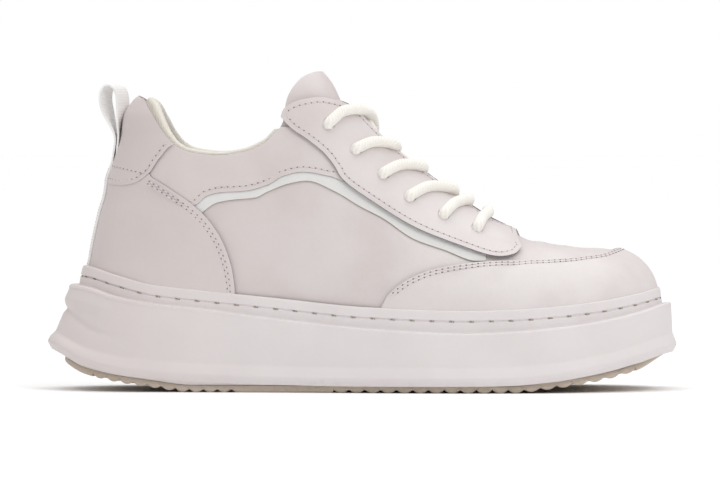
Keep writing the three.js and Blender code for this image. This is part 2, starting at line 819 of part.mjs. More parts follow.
// The stretch of a lace that lies on an eyestay, from an eyelet to the throat's edge.
function laceOnEyestay(row, side, edgeX) {
  const start = lastSide(row.x, row.z, side);
  const reach = Math.abs(start.y - centreY(start.x));
  const between = [0.33, 0.66, 1].map((t) => (
    aboveTop(mix(row.x, edgeX, t), side * mix(reach, THROAT_HALF + 1, t), OVER_EYESTAY + LACE_SLACK)
  ));
  return [aboveEyelet(row, side), ...between];
}

// One strand: out of an eyelet, over the throat's edge, down to the other side.
function laceStrand(upper, diveX, side, hump) {
  return laceTube([
    ...laceOnEyestay(upper, side, mix(upper.x, diveX, 0.42)),
    aboveTop(mix(upper.x, diveX, 0.78), 0, LACE_RADIUS + 1.4 + hump),
    aboveTop(diveX, -side * 6, LACE_RADIUS + 0.2),
  ], 6);
}

function makeLaceCross(index) {
  const upper = EYELETS[index];
  const lower = EYELETS[index + 1];
  const hump = index === 0 ? TOP_HUMP : CROSS_HUMP;
  const lowest = index + 2 === EYELETS.length;
  const diveX = lower.x + (lowest ? -BAR_CLEARANCE : DIVE_AHEAD);
  return laceStrand(upper, diveX, 1, 0).add(laceStrand(upper, diveX, -1, hump));
}

function makeLaceBar() {
  const row = EYELETS[EYELETS.length - 1];
  const edgeX = row.x + DIVE_AHEAD;
  return laceTube([
    ...laceOnEyestay(row, -1, edgeX),
    aboveTop(edgeX, 0, OVER_EYESTAY - 0.6),
    ...laceOnEyestay(row, 1, edgeX).reverse(),
  ], 12);
}

// ---------------------------------------------------------------- assembly

const FINISHES = {
  tread: { color: 0xa89a88, roughness: 0.8 },
  sole: { color: 0xe6e0da, roughness: 0.6 },
  leather: { color: 0xddd2cf, roughness: 0.5 },
  lining: { color: 0xe9e3d8, roughness: 0.9 },
  webbing: { color: 0xe9e6de, roughness: 0.9 },
  lace: { color: 0xf1ede2, roughness: 0.85 },
};

function piece(name, solid, finish) {
  const material = new THREE.MeshStandardMaterial({ metalness: 0, ...FINISHES[finish] });
  const mesh = new THREE.Mesh(geometryFrom(solid), material);
  mesh.name = name;
  return mesh;
}

const shoe = new THREE.Group();
shoe.add(
  piece('outsole', makeOutsole(), 'tread'),
  piece('cupsole', makeCupsole(), 'sole'),
  piece('insole', makeInsole(), 'lining'),
  piece('upper', makeUpper(), 'leather'),
  piece('tongue', makeTongue(), 'leather'),
  piece('eyestay_lateral', makeEyestay(-1), 'leather'),
  piece('eyestay_medial', makeEyestay(1), 'leather'),
  piece('heel_counter', makeHeelCounter(), 'leather'),
  piece('heel_tab', makeHeelTab(), 'leather'),
  piece('toe_mudguard', makeToeMudguard(), 'leather'),
  piece('collar_lining', makeCollarLining(), 'lining'),
  piece('pull_loop', makePullLoop(), 'webbing'),
  piece('lace_bar', makeLaceBar(), 'lace'),
);
for (let index = 0; index + 1 < EYELETS.length; index += 1) {
  shoe.add(piece(`lace_cross_${index + 1}`, makeLaceCross(index), 'lace'));
}

shoe.position.x = -HEEL_REST_X;

export default shoe;
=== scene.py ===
"""A pale leather platform sneaker, right foot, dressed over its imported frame.

The tables below are in millimetres and count x from the rearmost point of the sole's lip.
Every mesh is turned into the frame's metres by to_frame().
"""
import logging
import math
from dataclasses import dataclass, field
from enum import Enum
from typing import Callable

import bpy
import numpy as np
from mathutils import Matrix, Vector


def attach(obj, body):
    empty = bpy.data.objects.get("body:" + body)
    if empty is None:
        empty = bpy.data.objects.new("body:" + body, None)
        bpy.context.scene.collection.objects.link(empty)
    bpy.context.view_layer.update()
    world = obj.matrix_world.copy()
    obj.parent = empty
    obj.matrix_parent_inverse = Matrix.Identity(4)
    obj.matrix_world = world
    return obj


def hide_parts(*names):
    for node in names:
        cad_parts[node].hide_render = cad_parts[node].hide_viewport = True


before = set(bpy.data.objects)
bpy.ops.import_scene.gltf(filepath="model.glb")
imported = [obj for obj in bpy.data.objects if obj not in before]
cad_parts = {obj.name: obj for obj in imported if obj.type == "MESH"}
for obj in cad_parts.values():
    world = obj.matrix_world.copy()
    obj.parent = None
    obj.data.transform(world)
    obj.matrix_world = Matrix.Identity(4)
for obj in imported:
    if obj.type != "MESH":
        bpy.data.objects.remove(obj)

LOG = logging.getLogger("sneaker")

MM = 0.001
HEEL_REST_X = 80.0
SOLE_LENGTH = 280.0
TOE_SHIFT = 6.0
TOE_SHIFT_START = 110.0

Array = np.ndarray
Place = Callable[[Array, Array], Array]


# ------------------------------------------------------------------ numbers and curves

class Track:
    """A smooth curve through the rows of a table that never swings past them."""

    def __init__(self, places: tuple[float, ...], values: tuple[float, ...]) -> None:
        """Keep the rows and work out the slope at each of them.

        Args:
            places: the positions of the rows, in rising order.
            values: the value at each of them.
        """
        self.places = np.array(places, dtype=float)
        self.values = np.array(values, dtype=float)
        slope = np.diff(self.values) / np.diff(self.places)
        before, after = slope[:-1], slope[1:]
        product = before * after
        total = np.where(product > 0, before + after, 1.0)
        inner = np.where(product > 0, 2 * product / total, 0.0)
        self.slopes = np.concatenate([[0.0], inner, [0.0]])

    def __call__(self, x: Array | float) -> Array:
        """Return the curve's value at x, held level past both ends.

        Args:
            x: positions along the shoe, in millimetres.

        Returns:
            One value per position.
        """
        x = np.clip(np.asarray(x, dtype=float), self.places[0], self.places[-1])
        i = np.clip(np.searchsorted(self.places, x, side="right") - 1, 0, len(self.places) - 2)
        width = self.places[i + 1] - self.places[i]
        t = (x - self.places[i]) / width
        rise = self.values[i + 1] - self.values[i]
        start, end = self.slopes[i] * width, self.slopes[i + 1] * width
        bend = 3 * rise - 2 * start - end
        return self.values[i] + t * start + t * t * bend + t ** 3 * (start + end - 2 * rise)


def mix(a: Array | float, b: Array | float, t: Array | float) -> Array:
    """Return the value a share t of the way from a to b."""
    return a + (b - a) * t


def smooth_step(t: Array | float) -> Array:
    """Return an eased share between 0 and 1."""
    c = np.clip(t, 0.0, 1.0)
    return c * c * (3 - 2 * c)


def centre_y(x: Array | float) -> Array:
    """Return the centre line's sideways bend towards the big toe."""
    return TOE_SHIFT * smooth_step((np.asarray(x) - TOE_SHIFT_START) / (SOLE_LENGTH - TOE_SHIFT_START))


def round_ends(x: Array, heel_x: float, toe_x: float, heel_round: float, toe_round: float) -> Array:
    """Return how wide an outline still is near its round heel and toe.

    Args:
        x: positions along the shoe, in millimetres.
        heel_x: where the outline starts.
        toe_x: where the outline ends.
        heel_round: the length of the rounding at the heel.
        toe_round: the length of the rounding at the toe.

    Returns:
        One width per position.
    """
    heel = np.clip((x - heel_x) / heel_round, 0, 1)
    toe = np.clip((toe_x - x) / toe_round, 0, 1)
    return np.sqrt(1 - (1 - heel) ** 2) * (1 - (1 - toe) ** 2.25) ** (1 / 2.25)


def unit(vectors: Array) -> Array:
    """Return vectors of length one."""
    return vectors / np.maximum(np.linalg.norm(vectors, axis=-1, keepdims=True), 1e-12)


def to_frame(points: Array) -> Array:
    """Turn table millimetres into the frame's metres."""
    return (points - np.array([HEEL_REST_X, 0.0, 0.0])) * MM


def spline(points: Array, count: int) -> Array:
    """Return count points on a smooth curve through the given ones, evenly spaced.

    Args:
        points: the points, one row each.
        count: how many to return.

    Returns:
        The curve's points, one row each.
    """
    points = np.asarray(points, dtype=float)
    padded = np.vstack([2 * points[0] - points[1], points, 2 * points[-1] - points[-2]])
    fine = []
    for i in range(len(points) - 1):
        a, b, c, d = padded[i:i + 4]
        t = np.linspace(0, 1, 40, endpoint=False)[:, None]
        second, third = 2 * a - 5 * b + 4 * c - d, 3 * b - a - 3 * c + d
        fine.append(0.5 * (2 * b + (c - a) * t + second * t ** 2 + third * t ** 3))
    fine.append(points[-1:])
    return resample(np.vstack(fine), count)


def run_along(line: Array) -> Array:
    """Return how far along a line each of its points is."""
    return np.concatenate([[0], np.cumsum(np.linalg.norm(np.diff(line, axis=0), axis=1))])


def rows_at(at: Array, run: Array, rows: Array) -> Array:
    """Return the rows found at the given distances of a run."""
    return np.stack([np.interp(at, run, rows[:, k]) for k in range(rows.shape[1])], axis=1)


def resample(line: Array, count: int) -> Array:
    """Return count points spaced evenly along a line."""
    run = run_along(line)
    return rows_at(np.linspace(0, run[-1], count), run, line)


# ------------------------------------------------------------------ the shoe's own lines

TREAD = Track((0, 18, 33, 49, 66, 206, 226, 245, 262, 280), (14, 7.4, 4.2, 2, 0, 0, 1.9, 4.8, 9.2, 17.5))
LINE_PLACES = (0, 18, 33, 49, 66, 100, 145, 187, 206, 226, 245, 262, 280)
LIP = Track(LINE_PLACES, (21.4, 14.6, 11, 9.2, 7.9, 6.7, 6.1, 6.2, 6.5, 8.2, 11.4, 15.6, 20.2))
LEDGE = Track(LINE_PLACES, (47.3, 45.8, 41.5, 38.7, 37, 32.6, 27.9, 25.9, 26.6, 28.3, 30.8, 34.3, 38.8))
WALL = Track(LINE_PLACES, (56, 55, 51.2, 47.2, 45.2, 41.8, 37.5, 36.1, 36.5, 37.8, 39.9, 42.9, 46.5))
CUP = Track(LINE_PLACES, (43, 42, 39.5, 36.5, 34.5, 30.5, 26.5, 25, 25.2, 26.5, 28.6, 31.4, 34.5))

TOPLINE = Track((31, 33, 36.5, 40.5, 45, 49, 53.5, 58.4, 65, 77, 88, 98, 105),
                (121, 124.6, 128.4, 129.8, 127.6, 121.2, 113.8, 108.6, 105.5, 104, 105.4, 109.6, 115.5))
WAVE_EDGE = Track((45, 56, 67.8, 73, 79, 90, 99.7, 106.4, 115, 126.7, 136),
                  (84, 80, 82.1, 86.1, 87.6, 88.3, 91, 94.7, 96.6, 94.7, 90))
PIPING_EDGE = Track((60, 71, 77, 84, 94.4, 99.7, 108.5, 117, 129.5, 140.3, 150.5, 164, 177.5, 192),
                    (70, 78.8, 82.9, 84.3, 85.3, 87.9, 91.3, 92.7, 87.9, 81.5, 76.2, 67.2, 62.3, 57.4))
TAB_EDGE = Track((20, 33, 39.9, 47.3, 51.5, 58.2), (92.8, 90.9, 91.8, 96.3, 102.2, 108.4))
COUNTER_EDGE = Track((44, 52.9, 64.3, 74.2, 81.7, 90.8, 96), (85.6, 84.5, 80.9, 74.9, 67.5, 54.4, 47.3))
MUDGUARD_EDGE = Track((147.5, 153.6, 163.2, 175, 195, 225, 245, 259.5),
                      (34, 43.2, 50.2, 54.3, 56.8, 57.3, 58.9, 62.4))
EYESTAY_EDGE = ((105.2, 120.4), (110, 115.4), (117, 110.6), (124, 104.9), (128.8, 98.8), (132.9, 92.7),
                (143.7, 84.6), (164, 72), (186.3, 62.8), (199.5, 58.6), (207.6, 59.2), (210.9, 62))
EYELETS = ((125.9, 117.5), (137.9, 106), (149.9, 95), (161.8, 84.9), (176.4, 76.8), (191, 70.6))

THROAT_TOP_X, THROAT_TOP_Z, THROAT_END_X, THROAT_HALF = 104.6, 124.6, 203.0, 11.0
COUNTER_FRONT_X, MUDGUARD_BACK_X = 85.6, 148.0
WALL_LAP = 3.0
KEY_DIGITS = 9


class Side(Enum):
    """The two sides of a right shoe."""

    LATERAL = -1
    MEDIAL = 1


@dataclass
class Last:
    """The form that the upper is pulled over.

    A place on it is an angle round the outline (0 at the heel, up to pi along the lateral
    side, down to -pi along the medial side) and a share out (1 at the outline, 0 on the ridge).
    """

    heel_x: float = 19.2
    toe_x: float = 271.3
    ridge_heel_x: float = 75.0
    ridge_toe_x: float = 240.0
    heel_round: float = 36.0
    toe_round: float = 66.0
    lateral: Track = field(default_factory=lambda: Track(
        (19, 55, 85, 115, 145, 175, 200, 225, 250, 272), (33.5, 34, 34.5, 36.5, 41, 45, 46.5, 45.5, 42.5, 40)))
    medial: Track = field(default_factory=lambda: Track(
        (19, 55, 85, 115, 145, 175, 200, 225, 250, 272), (33, 33, 32, 33, 37.5, 43, 45.5, 45.5, 43.5, 41)))
    fullness: Track = field(default_factory=lambda: Track(
        (19, 55, 85, 175, 200, 225, 250, 272), (1.95, 1.95, 2.0, 2.05, 2.2, 2.45, 2.6, 2.6)))
    ridge: Track = field(default_factory=lambda: Track(
        (75, 106, 122, 135, 148, 160, 175, 190, 203, 215, 230, 240),
        (151, 151, 145, 129.5, 114.5, 103.2, 91, 79.5, 71.2, 66.4, 63.8, 62.8)))

    def point(self, angle: Array, out: Array, grow: float = 0.0) -> Array:
        """Return the surface's points.

        Args:
            angle: angles round the outline.
            out: shares between ridge and outline.
            grow: how much wider and longer than the last the form is.

        Returns:
            Points in table millimetres.
        """
        angle, out = np.broadcast_arrays(np.asarray(angle, float), np.asarray(out, float))
        angle = (angle + math.pi) % (2 * math.pi) - math.pi
        share = (1 - np.cos(angle)) / 2
        x0 = mix(self.heel_x - grow, self.toe_x + grow, share)
        ends = round_ends(x0, self.heel_x - grow, self.toe_x + grow, self.heel_round, self.toe_round)
        width = np.where(angle > 0, self.lateral(x0), self.medial(x0)) + grow
        full = self.fullness(x0)
        height = (1 - np.clip(out, 0, 1) ** full) ** (1 / full)
        x = mix(mix(self.ridge_heel_x, self.ridge_toe_x, share), x0, out)
        y = centre_y(x) - np.sign(angle) * width * ends * out
        z = mix(CUP(x0), self.ridge(x), height)
        return np.stack([x, y, z], axis=-1)

    def normal(self, angle: Array, out: Array) -> Array:
        """Return the outward directions at the given places.

        Args:
            angle: the columns, in radians round the shoe.
            out: the shares out, 1 at the foot.

        Returns:
            One direction per place.
        """
        step = 0.004
        angle, out = np.broadcast_arrays(np.asarray(angle, float), np.asarray(out, float))
        low, high = np.clip(out - step, 0.0, 1.0), np.clip(out + step, 0.0, 0.9995)
        along = self.point(angle + step, out) - self.point(angle - step, out)
        down = self.point(angle, np.maximum(high, low + 1e-4)) - self.point(angle, low)
        found = unit(np.cross(down, along))
        ridge = out < 0.02
        if np.any(ridge):
            x = self.point(angle, out)[..., 0]
            slope = self.ridge(x + 0.5) - self.ridge(x - 0.5)
            straight = unit(np.stack([-slope, np.zeros_like(slope), np.ones_like(slope)], axis=-1))
            found = np.where(ridge[..., None], straight, found)
        return found

    def skin(self, angle: Array, out: Array, lift: Array | float) -> Array:
        """Return points a height above the surface."""
        return self.point(angle, out) + self.normal(angle, out) * np.asarray(lift)[..., None]

    def angle_at(self, share: Array, side: Array | float) -> Array:
        """Return the angle of a share of the length, on one side (-1 lateral, 1 medial)."""
        return -np.asarray(side) * np.arccos(np.clip(1 - 2 * share, -1, 1))

    def _search(self, x: Array, side: Array | float, is_inner: Callable[[Array], Array]) -> tuple[Array, Array]:
        """Halve the range of out until the point with this x meets a condition.

        Args:
            x: positions along the shoe, in millimetres.
            side: which side of the shoe.
            is_inner: tells which points are still inside the limit.

        Returns:
            The angles and the shares out.
        """
        x = np.asarray(x, float)
        low, high = np.zeros_like(x), np.ones_like(x)
        for _ in range(34):
            out = (low + high) / 2
            start = mix(self.ridge_heel_x, self.heel_x, out)
            end = mix(self.ridge_toe_x, self.toe_x, out)
            angle = self.angle_at((x - start) / (end - start), side)
            inner = is_inner(self.point(angle, out))
            low, high = np.where(inner, out, low), np.where(inner, high, out)
        return angle, out

    def from_side(self, x: Array, z: Array, side: Array | float) -> tuple[Array, Array]:
        """Return the places seen at x and z from one side."""
        return self._search(x, side, lambda point: point[..., 2] > z)

    def from_above(self, x: Array, y: Array) -> tuple[Array, Array]:
        """Return the places seen at x from above, y measured from the centre line.

        Args:
            x: positions along the shoe, in millimetres.
            y: distances from the centre line, in millimetres.

        Returns:
            The angles and the shares out.
        """
        x, y = np.broadcast_arrays(np.asarray(x, float), np.asarray(y, float))
        side = np.where(y < 0, -1.0, 1.0)
        return self._search(x, side, lambda point: np.abs(point[..., 1] - centre_y(x)) < np.abs(y))

    def first_exit(self, angle: Array, inside: Callable[[Array], Array], start: Array | float = 1.0) -> Array:
        """Follow each column up from the outline and return where it leaves a region.

        Args:
            angle: the columns.
            inside: tells which points are in the region.
            start: where each column begins.

        Returns:
            The share out at each column's last point in the region, 0 if it reaches the ridge.
        """
        angle = np.asarray(angle, float)
        levels = np.cos(np.linspace(0, math.pi / 2, 260))
        levels[-1] = 0.0
        start = np.broadcast_to(np.asarray(start, float), angle.shape)
        grid = np.minimum(levels[None, :], start[:, None])
        within = inside(self.point(angle[:, None], grid))
        gone = ~within
        gone[:, 0] = False
        first = np.where(gone.any(axis=1), gone.argmax(axis=1), 0)
        rows = np.arange(len(angle))
        high, low = grid[rows, np.maximum(first - 1, 0)], grid[rows, first]
        for _ in range(26):
            middle = (high + low) / 2
            ok = inside(self.point(angle, middle))
            high, low = np.where(ok, middle, high), np.where(ok, low, middle)
        return np.where(first == 0, 0.0, high)

    def exits(self, angle: Array, inside: Callable[[Array], Array]) -> Array:
        """Return first_exit for many columns, working out each different column once.

        Args:
            angle: the columns, with repeats.
            inside: tells which points are in the region.

        Returns:
            One share out per column.
        """
        keys, back = np.unique(np.round(angle, KEY_DIGITS), return_inverse=True)
        return self.first_exit(keys, inside)[back]

    def end_angles(self, x: float, z: float) -> dict[Side, float]:
        """Return each side's angle at one x and height."""
        return {side: float(self.from_side(np.array([x]), np.array([z]), side.value)[0][0]) for side in Side}

    def outline(self, angle: Array, line: Track, grow: float) -> Array:
        """Return the form's outline where it meets one of the sole's long lines.

        Args:
            angle: the columns, in radians round the shoe.
            line: one of the sole's long lines.
            grow: how far outside the form, in millimetres.

        Returns:
            One point per column.
        """
        share = (1 - np.cos(angle)) / 2
        x0 = mix(self.heel_x - grow, self.toe_x + grow, share)
        rise = np.clip((line(x0) - CUP(x0)) / (self.ridge(x0) - CUP(x0)), 0, 1)
        full = self.fullness(x0)
        return self.point(angle, (1 - rise ** full) ** (1 / full), grow)


LAST = Last()


def in_opening(point: Array) -> Array:
    """Tell which points lie in the collar's opening or the throat.

    Args:
        point: the points, one row each.

    Returns:
        One truth value per point.
    """
    x, y, z = point[..., 0], point[..., 1], point[..., 2]
    collar = (x < THROAT_TOP_X) & (z > TOPLINE(x))
    tab = (x >= THROAT_TOP_X) & (x < 140) & (z > THROAT_TOP_Z + (x - THROAT_TOP_X) * 0.03)
    reach = np.abs(y - centre_y(x))
    past = np.maximum(x - (THROAT_END_X - THROAT_HALF), 0)
    throat = (x > 95) & (reach ** 2 + past ** 2 < THROAT_HALF ** 2)
    return collar | tab | throat


# ------------------------------------------------------------------ modelling helpers

def select_only(*pieces: bpy.types.Object) -> None:
    """Select these pieces and nothing else.

    Args:
        pieces: the objects.
    """
    bpy.ops.object.select_all(action="DESELECT")
    for piece in pieces:
        piece.select_set(True)
    bpy.context.view_layer.objects.active = pieces[0]


def in_edit(piece: bpy.types.Object, *steps: Callable[[], object]) -> None:
    """Run edit-mode operators on a whole piece.

    Args:
        piece: the object.
        steps: the operators, in order.
    """
    select_only(piece)
    bpy.ops.object.mode_set(mode="EDIT")
    bpy.ops.mesh.select_all(action="SELECT")
    for step in steps:
        step()
    bpy.ops.object.mode_set(mode="OBJECT")


def weld(piece: bpy.types.Object, distance: float = 0.00002) -> None:
    """Merge a piece's doubled vertices."""
    in_edit(piece, lambda: bpy.ops.mesh.remove_doubles(threshold=distance))


def vertex_array(piece: bpy.types.Object) -> Array:
    """Return a piece's vertices as rows.

    Args:
        piece: the object.

    Returns:
        One row per vertex.
    """
    flat = np.empty(len(piece.data.vertices) * 3)
    piece.data.vertices.foreach_get("co", flat)
    return flat.reshape(-1, 3)


def set_vertices(piece: bpy.types.Object, points: Array) -> None:
    """Move a piece's vertices to new places."""
    piece.data.vertices.foreach_set("co", np.ascontiguousarray(points, dtype=float).ravel())
    piece.data.update()


def sheet(name: str, columns: int, rows: int, place: Place) -> bpy.types.Object:
    """Add a flat grid and wrap it onto the shoe.

    Args:
        name: the piece's name.
        columns: faces along the first direction.
        rows: faces along the second.
        place: turns shares (u, v) into points in table millimetres.

    Returns:
        The wrapped piece, with doubled vertices merged.
    """
    bpy.ops.object.select_all(action="DESELECT")
    bpy.ops.mesh.primitive_grid_add(x_subdivisions=columns, y_subdivisions=rows, size=1)
    piece = bpy.context.object
    piece.name = name
    flat = vertex_array(piece)
    set_vertices(piece, to_frame(place(flat[:, 0] + 0.5, flat[:, 1] + 0.5)))
    weld(piece)
    return piece


def face_out(piece: bpy.types.Object) -> None:
    """Turn an open sheet's faces away from the inside of the shoe.

    Args:
        piece: the object.
    """
    total = 0.0
    for face in piece.data.polygons:
        centre = np.array(face.center)
        inner = np.array([min(max(centre[0], -0.015), 0.14), 0.002, 0.05])
        total += float(np.dot(np.array(face.normal), centre - inner)) * face.area
    if total < 0:
        in_edit(piece, lambda: bpy.ops.mesh.flip_normals())


def close_up(piece: bpy.types.Object) -> None:
    """Make a closed piece's faces point outwards."""
    in_edit(piece, lambda: bpy.ops.mesh.normals_make_consistent(inside=False))


def modify(piece: bpy.types.Object, kind: str, **settings: object) -> None:
    """Add a modifier with these settings and apply it.

    Args:
        piece: the object.
        kind: the modifier's type.
        settings: the modifier's properties.
    """
    select_only(piece)
    modifier = piece.modifiers.new(kind.title(), kind)
    for key, value in settings.items():
        setattr(modifier, key, value)
    bpy.ops.object.modifier_apply(modifier=modifier.name)


def thicken(piece: bpy.types.Object, depth: float, rim: int = 0, inner: int = 0,
            clamp: float = 1.5) -> None:
    """Give an open sheet a wall inwards.

    Args:
        piece: the object.
        depth: the wall's depth, in millimetres.
        rim: how many material slots further the rim is.
        inner: how many material slots further the back is.
        clamp: the modifier's thickness clamp, 0 for none.
    """
    while len(piece.data.materials) < 3:
        piece.data.materials.append(None)
    modify(piece, "SOLIDIFY", thickness=depth * MM, offset=-1.0, use_even_offset=True,
           thickness_clamp=clamp, material_offset_rim=rim, material_offset=inner)


def soften(piece: bpy.types.Object, width: float, segments: int = 2, angle: float = 45.0,
           paint: int = -1) -> None:
    """Round a piece's sharp edges and smooth it.

    Args:
        piece: the object.
        width: the rounding's width, in millimetres.
        segments: how many steps the rounding has.
        angle: the sharpest bend left as it is, in degrees.
        paint: the rounding's material, -1 for the faces' own.
    """
    modify(piece, "BEVEL", width=width * MM, segments=segments, limit_method="ANGLE",
           angle_limit=math.radians(angle), harden_normals=False, use_clamp_overlap=True, material=paint)
    smooth(piece)


def smooth(piece: bpy.types.Object, angle: float = 50.0) -> None:
    """Shade a piece smooth except at sharp edges."""
    select_only(piece)
    bpy.ops.object.shade_smooth_by_angle(angle=math.radians(angle))


def finish_piece(piece: bpy.types.Object, slot: str, materials: list[bpy.types.Material],
                 *replaced: str) -> bpy.types.Object:
    """Dress a piece and tie it to the frame.

    Args:
        piece: the finished mesh.
        slot: the record's material slot; not used.
        materials: its materials in slot order.
        replaced: the solids of the frame that it stands for.

    Returns:
        The same piece.
    """
    indices = np.empty(len(piece.data.polygons), dtype=np.int32)
    piece.data.polygons.foreach_get("material_index", indices)
    piece.data.materials.clear()
    for material in materials:
        piece.data.materials.append(material)
    piece.data.polygons.foreach_set("material_index", indices)
    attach(piece, "root")
    if replaced:
        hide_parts(*replaced)
    LOG.info("%s: %d faces", piece.name, len(piece.data.polygons))
    return piece


def copies(name: str, template: bpy.types.Object, places: Array, frames: Array) -> bpy.types.Object:
    """Copy a small template to many places as one mesh.

    Args:
        name: the new piece's name.
        template: the small mesh, in metres round its own origin; it is removed.
        places: one row per copy, in table millimetres.
        frames: one 3 by 3 set of axes (as rows) per copy.

    Returns:
        The joined piece.
    """
    base = vertex_array(template)
    faces = [tuple(face.vertices) for face in template.data.polygons]
    points = np.einsum("vk,nkj->nvj", base, frames) + to_frame(places)[:, None, :]
    mesh = bpy.data.meshes.new(name)
    step = len(base)
    many = [tuple(i + step * copy for i in face) for copy in range(len(places)) for face in faces]
    mesh.from_pydata(points.reshape(-1, 3).tolist(), [], many)
    mesh.update()
    piece = bpy.data.objects.new(name, mesh)
    bpy.context.scene.collection.objects.link(piece)
    bpy.data.objects.remove(template)
    smooth(piece, 80)
    return piece


# ------------------------------------------------------------------ creases in the leather

@dataclass(frozen=True)
class Crease:
    """A soft fold: a trough (or ridge, with a negative depth) along a line on the last."""

    line: tuple[tuple[float, float], ...]
    depth: float
    reach: float
    from_top: bool = False
    side: int = -1

    def points(self) -> Array:
        """Return the fold's line on the last in table millimetres.

        Returns:
            The fold's points, one row each.
        """
        rows = spline(np.array(self.line), 26)
        find = LAST.from_above if self.from_top else (lambda x, z: LAST.from_side(x, z, self.side))
        return LAST.point(*find(rows[:, 0], rows[:, 1]))

    def lift(self, at: Array, line: Array) -> Array:
        """Return how far the fold moves the points along their normals.

        Args:
            at: the points to move.
            line: the fold's own points.

        Returns:
            One distance per point, in millimetres.
        """
        gap = np.linalg.norm(at[:, None, :] - line[None, :, :], axis=2)
        nearest = gap.argmin(axis=1)
        share = nearest / (len(line) - 1)
        fade = smooth_step(share * 4) * smooth_step((1 - share) * 4)
        distance = gap.min(axis=1) / self.reach
        return -self.depth * fade * (np.exp(-distance ** 2) - 0.45 * np.exp(-(distance - 1.9) ** 2))


CREASES = (
    Crease(((208, -30), (213, -16), (215, 0), (213.5, 13), (209, 25)), 0.42, 3.4, from_top=True),
    Crease(((218, -34), (224, -20), (225.5, -4), (224, 10)), 0.32, 3.0, from_top=True),
    Crease(((219, 16), (217, 26), (213, 35)), 0.3, 2.8, from_top=True),
    Crease(((196, 45), (203, 50), (208, 55), (214, 60)), 0.3, 3.2),
    Crease(((176, 47), (186, 52), (192, 58)), 0.22, 3.4),
    Crease(((92, 100), (98, 95), (103, 88), (105, 79)), 0.35, 4.4),
    Crease(((62, 100), (69, 96), (77, 94), (86, 95)), 0.3, 4.6),
    Crease(((96, 62), (106, 68), (118, 71), (130, 70)), 0.28, 5.5),
    Crease(((60, 62), (58, 72), (52, 81), (44, 87)), 0.25, 5.0),
    Crease(((92, 100), (98, 95), (103, 88), (105, 79)), 0.35, 4.4, side=1),
    Crease(((196, 45), (203, 50), (208, 55), (214, 60)), 0.3, 3.2, side=1),
    Crease(((96, 62), (106, 68), (118, 71), (130, 70)), 0.28, 5.5, side=1),
)
CREASE_LINES = tuple(crease.points() for crease in CREASES)
HEEL_PUSH = Track((52, 58, 65, 72, 80, 86, 90, 93.5, 100, 107, 112, 117, 122, 127, 130),
                  (0, -0.8, -1.3, -1.8, -2.3, -2.8, -2.5, -1.9, -2.0, -1.9, -1.4, 0.4, 1.8, 1.5, 0.4))
HEEL_PUSH_START, HEEL_PUSH_RUN = 34.0, 30.0


def relief(at: Array) -> Array:
    """Return how far all folds together move the points.

    Args:
        at: the points to move.

    Returns:
        One distance per point, in millimetres.
    """
    flat = at.reshape(-1, 3)
    total = HEEL_PUSH(flat[:, 2]) * (1 - smooth_step((flat[:, 0] - HEEL_PUSH_START) / HEEL_PUSH_RUN))
    for crease, line in zip(CREASES, CREASE_LINES):
        total += crease.lift(flat, line)
    return total.reshape(at.shape[:-1])


def on_leather(angle: Array, out: Array, lift: Array | float) -> Array:
    """Return points a height above the last, folds included."""
    return LAST.skin(angle, out, np.asarray(lift) + relief(LAST.point(angle, out)))


def at_height(angle: Array, z: Array) -> Array:
    """Return the share out at which each column reaches a height.

    Args:
        angle: the columns, in radians round the shoe.
        z: heights above the floor, in millimetres.

    Returns:
        One share out per column.
    """
    angle, z = np.broadcast_arrays(np.asarray(angle, float), np.asarray(z, float))
    low, high = np.zeros_like(z), np.ones_like(z)
    for _ in range(32):
        out = (low + high) / 2
        above = LAST.point(angle, out)[..., 2] > z
        low, high = np.where(above, out, low), np.where(above, high, out)
    return (low + high) / 2


# ------------------------------------------------------------------ shader expressions

def tint(red: int, green: int, blue: int) -> tuple[float, float, float, float]:
    """Return a screen colour as the shader's linear one.

    Args:
        red: red, 0 to 255.
        green: green, 0 to 255.
        blue: blue, 0 to 255.

    Returns:
        Red, green, blue and alpha.
    """
    shares = (red / 255, green / 255, blue / 255)
    linear = [c / 12.92 if c <= 0.04045 else ((c + 0.055) / 1.055) ** 2.4 for c in shares]
    return (*linear, 1.0)


class Wire:
    """A shader socket that takes part in plain arithmetic."""

    def __init__(self, graph: "Graph", socket: bpy.types.NodeSocket) -> None:
        """Remember the socket and its node tree."""
        self.graph, self.socket = graph, socket

    def _math(self, operation: str, first: object, second: object = 0.0) -> "Wire":
        """Add a Math node."""
        return self.graph.node("ShaderNodeMath", {"operation": operation}, {0: first, 1: second})

    def __add__(self, other: object) -> "Wire":
        """Add."""
        return self._math("ADD", self, other)

    def __sub__(self, other: object) -> "Wire":
        """Subtract."""
        return self._math("SUBTRACT", self, other)

    def __rsub__(self, other: object) -> "Wire":
        """Subtract from a number."""
        return self._math("SUBTRACT", other, self)

    def __mul__(self, other: object) -> "Wire":
        """Multiply."""
        return self._math("MULTIPLY", self, other)

    def __truediv__(self, other: object) -> "Wire":
        """Divide."""
        return self._math("DIVIDE", self, other)

    def __pow__(self, other: object) -> "Wire":
        """Raise to a power."""
        return self._math("POWER", self, other)

    __radd__ = __add__
    __rmul__ = __mul__

    def sine(self) -> "Wire":
        """Return the sine."""
        return self._math("SINE", self)

    def ease(self, low: float, high: float) -> "Wire":
        """Return an eased 0 to 1 between two values."""
        return self.graph.node("ShaderNodeMapRange", {"interpolation_type": "SMOOTHSTEP"},
                               {"Value": self, "From Min": low, "From Max": high})


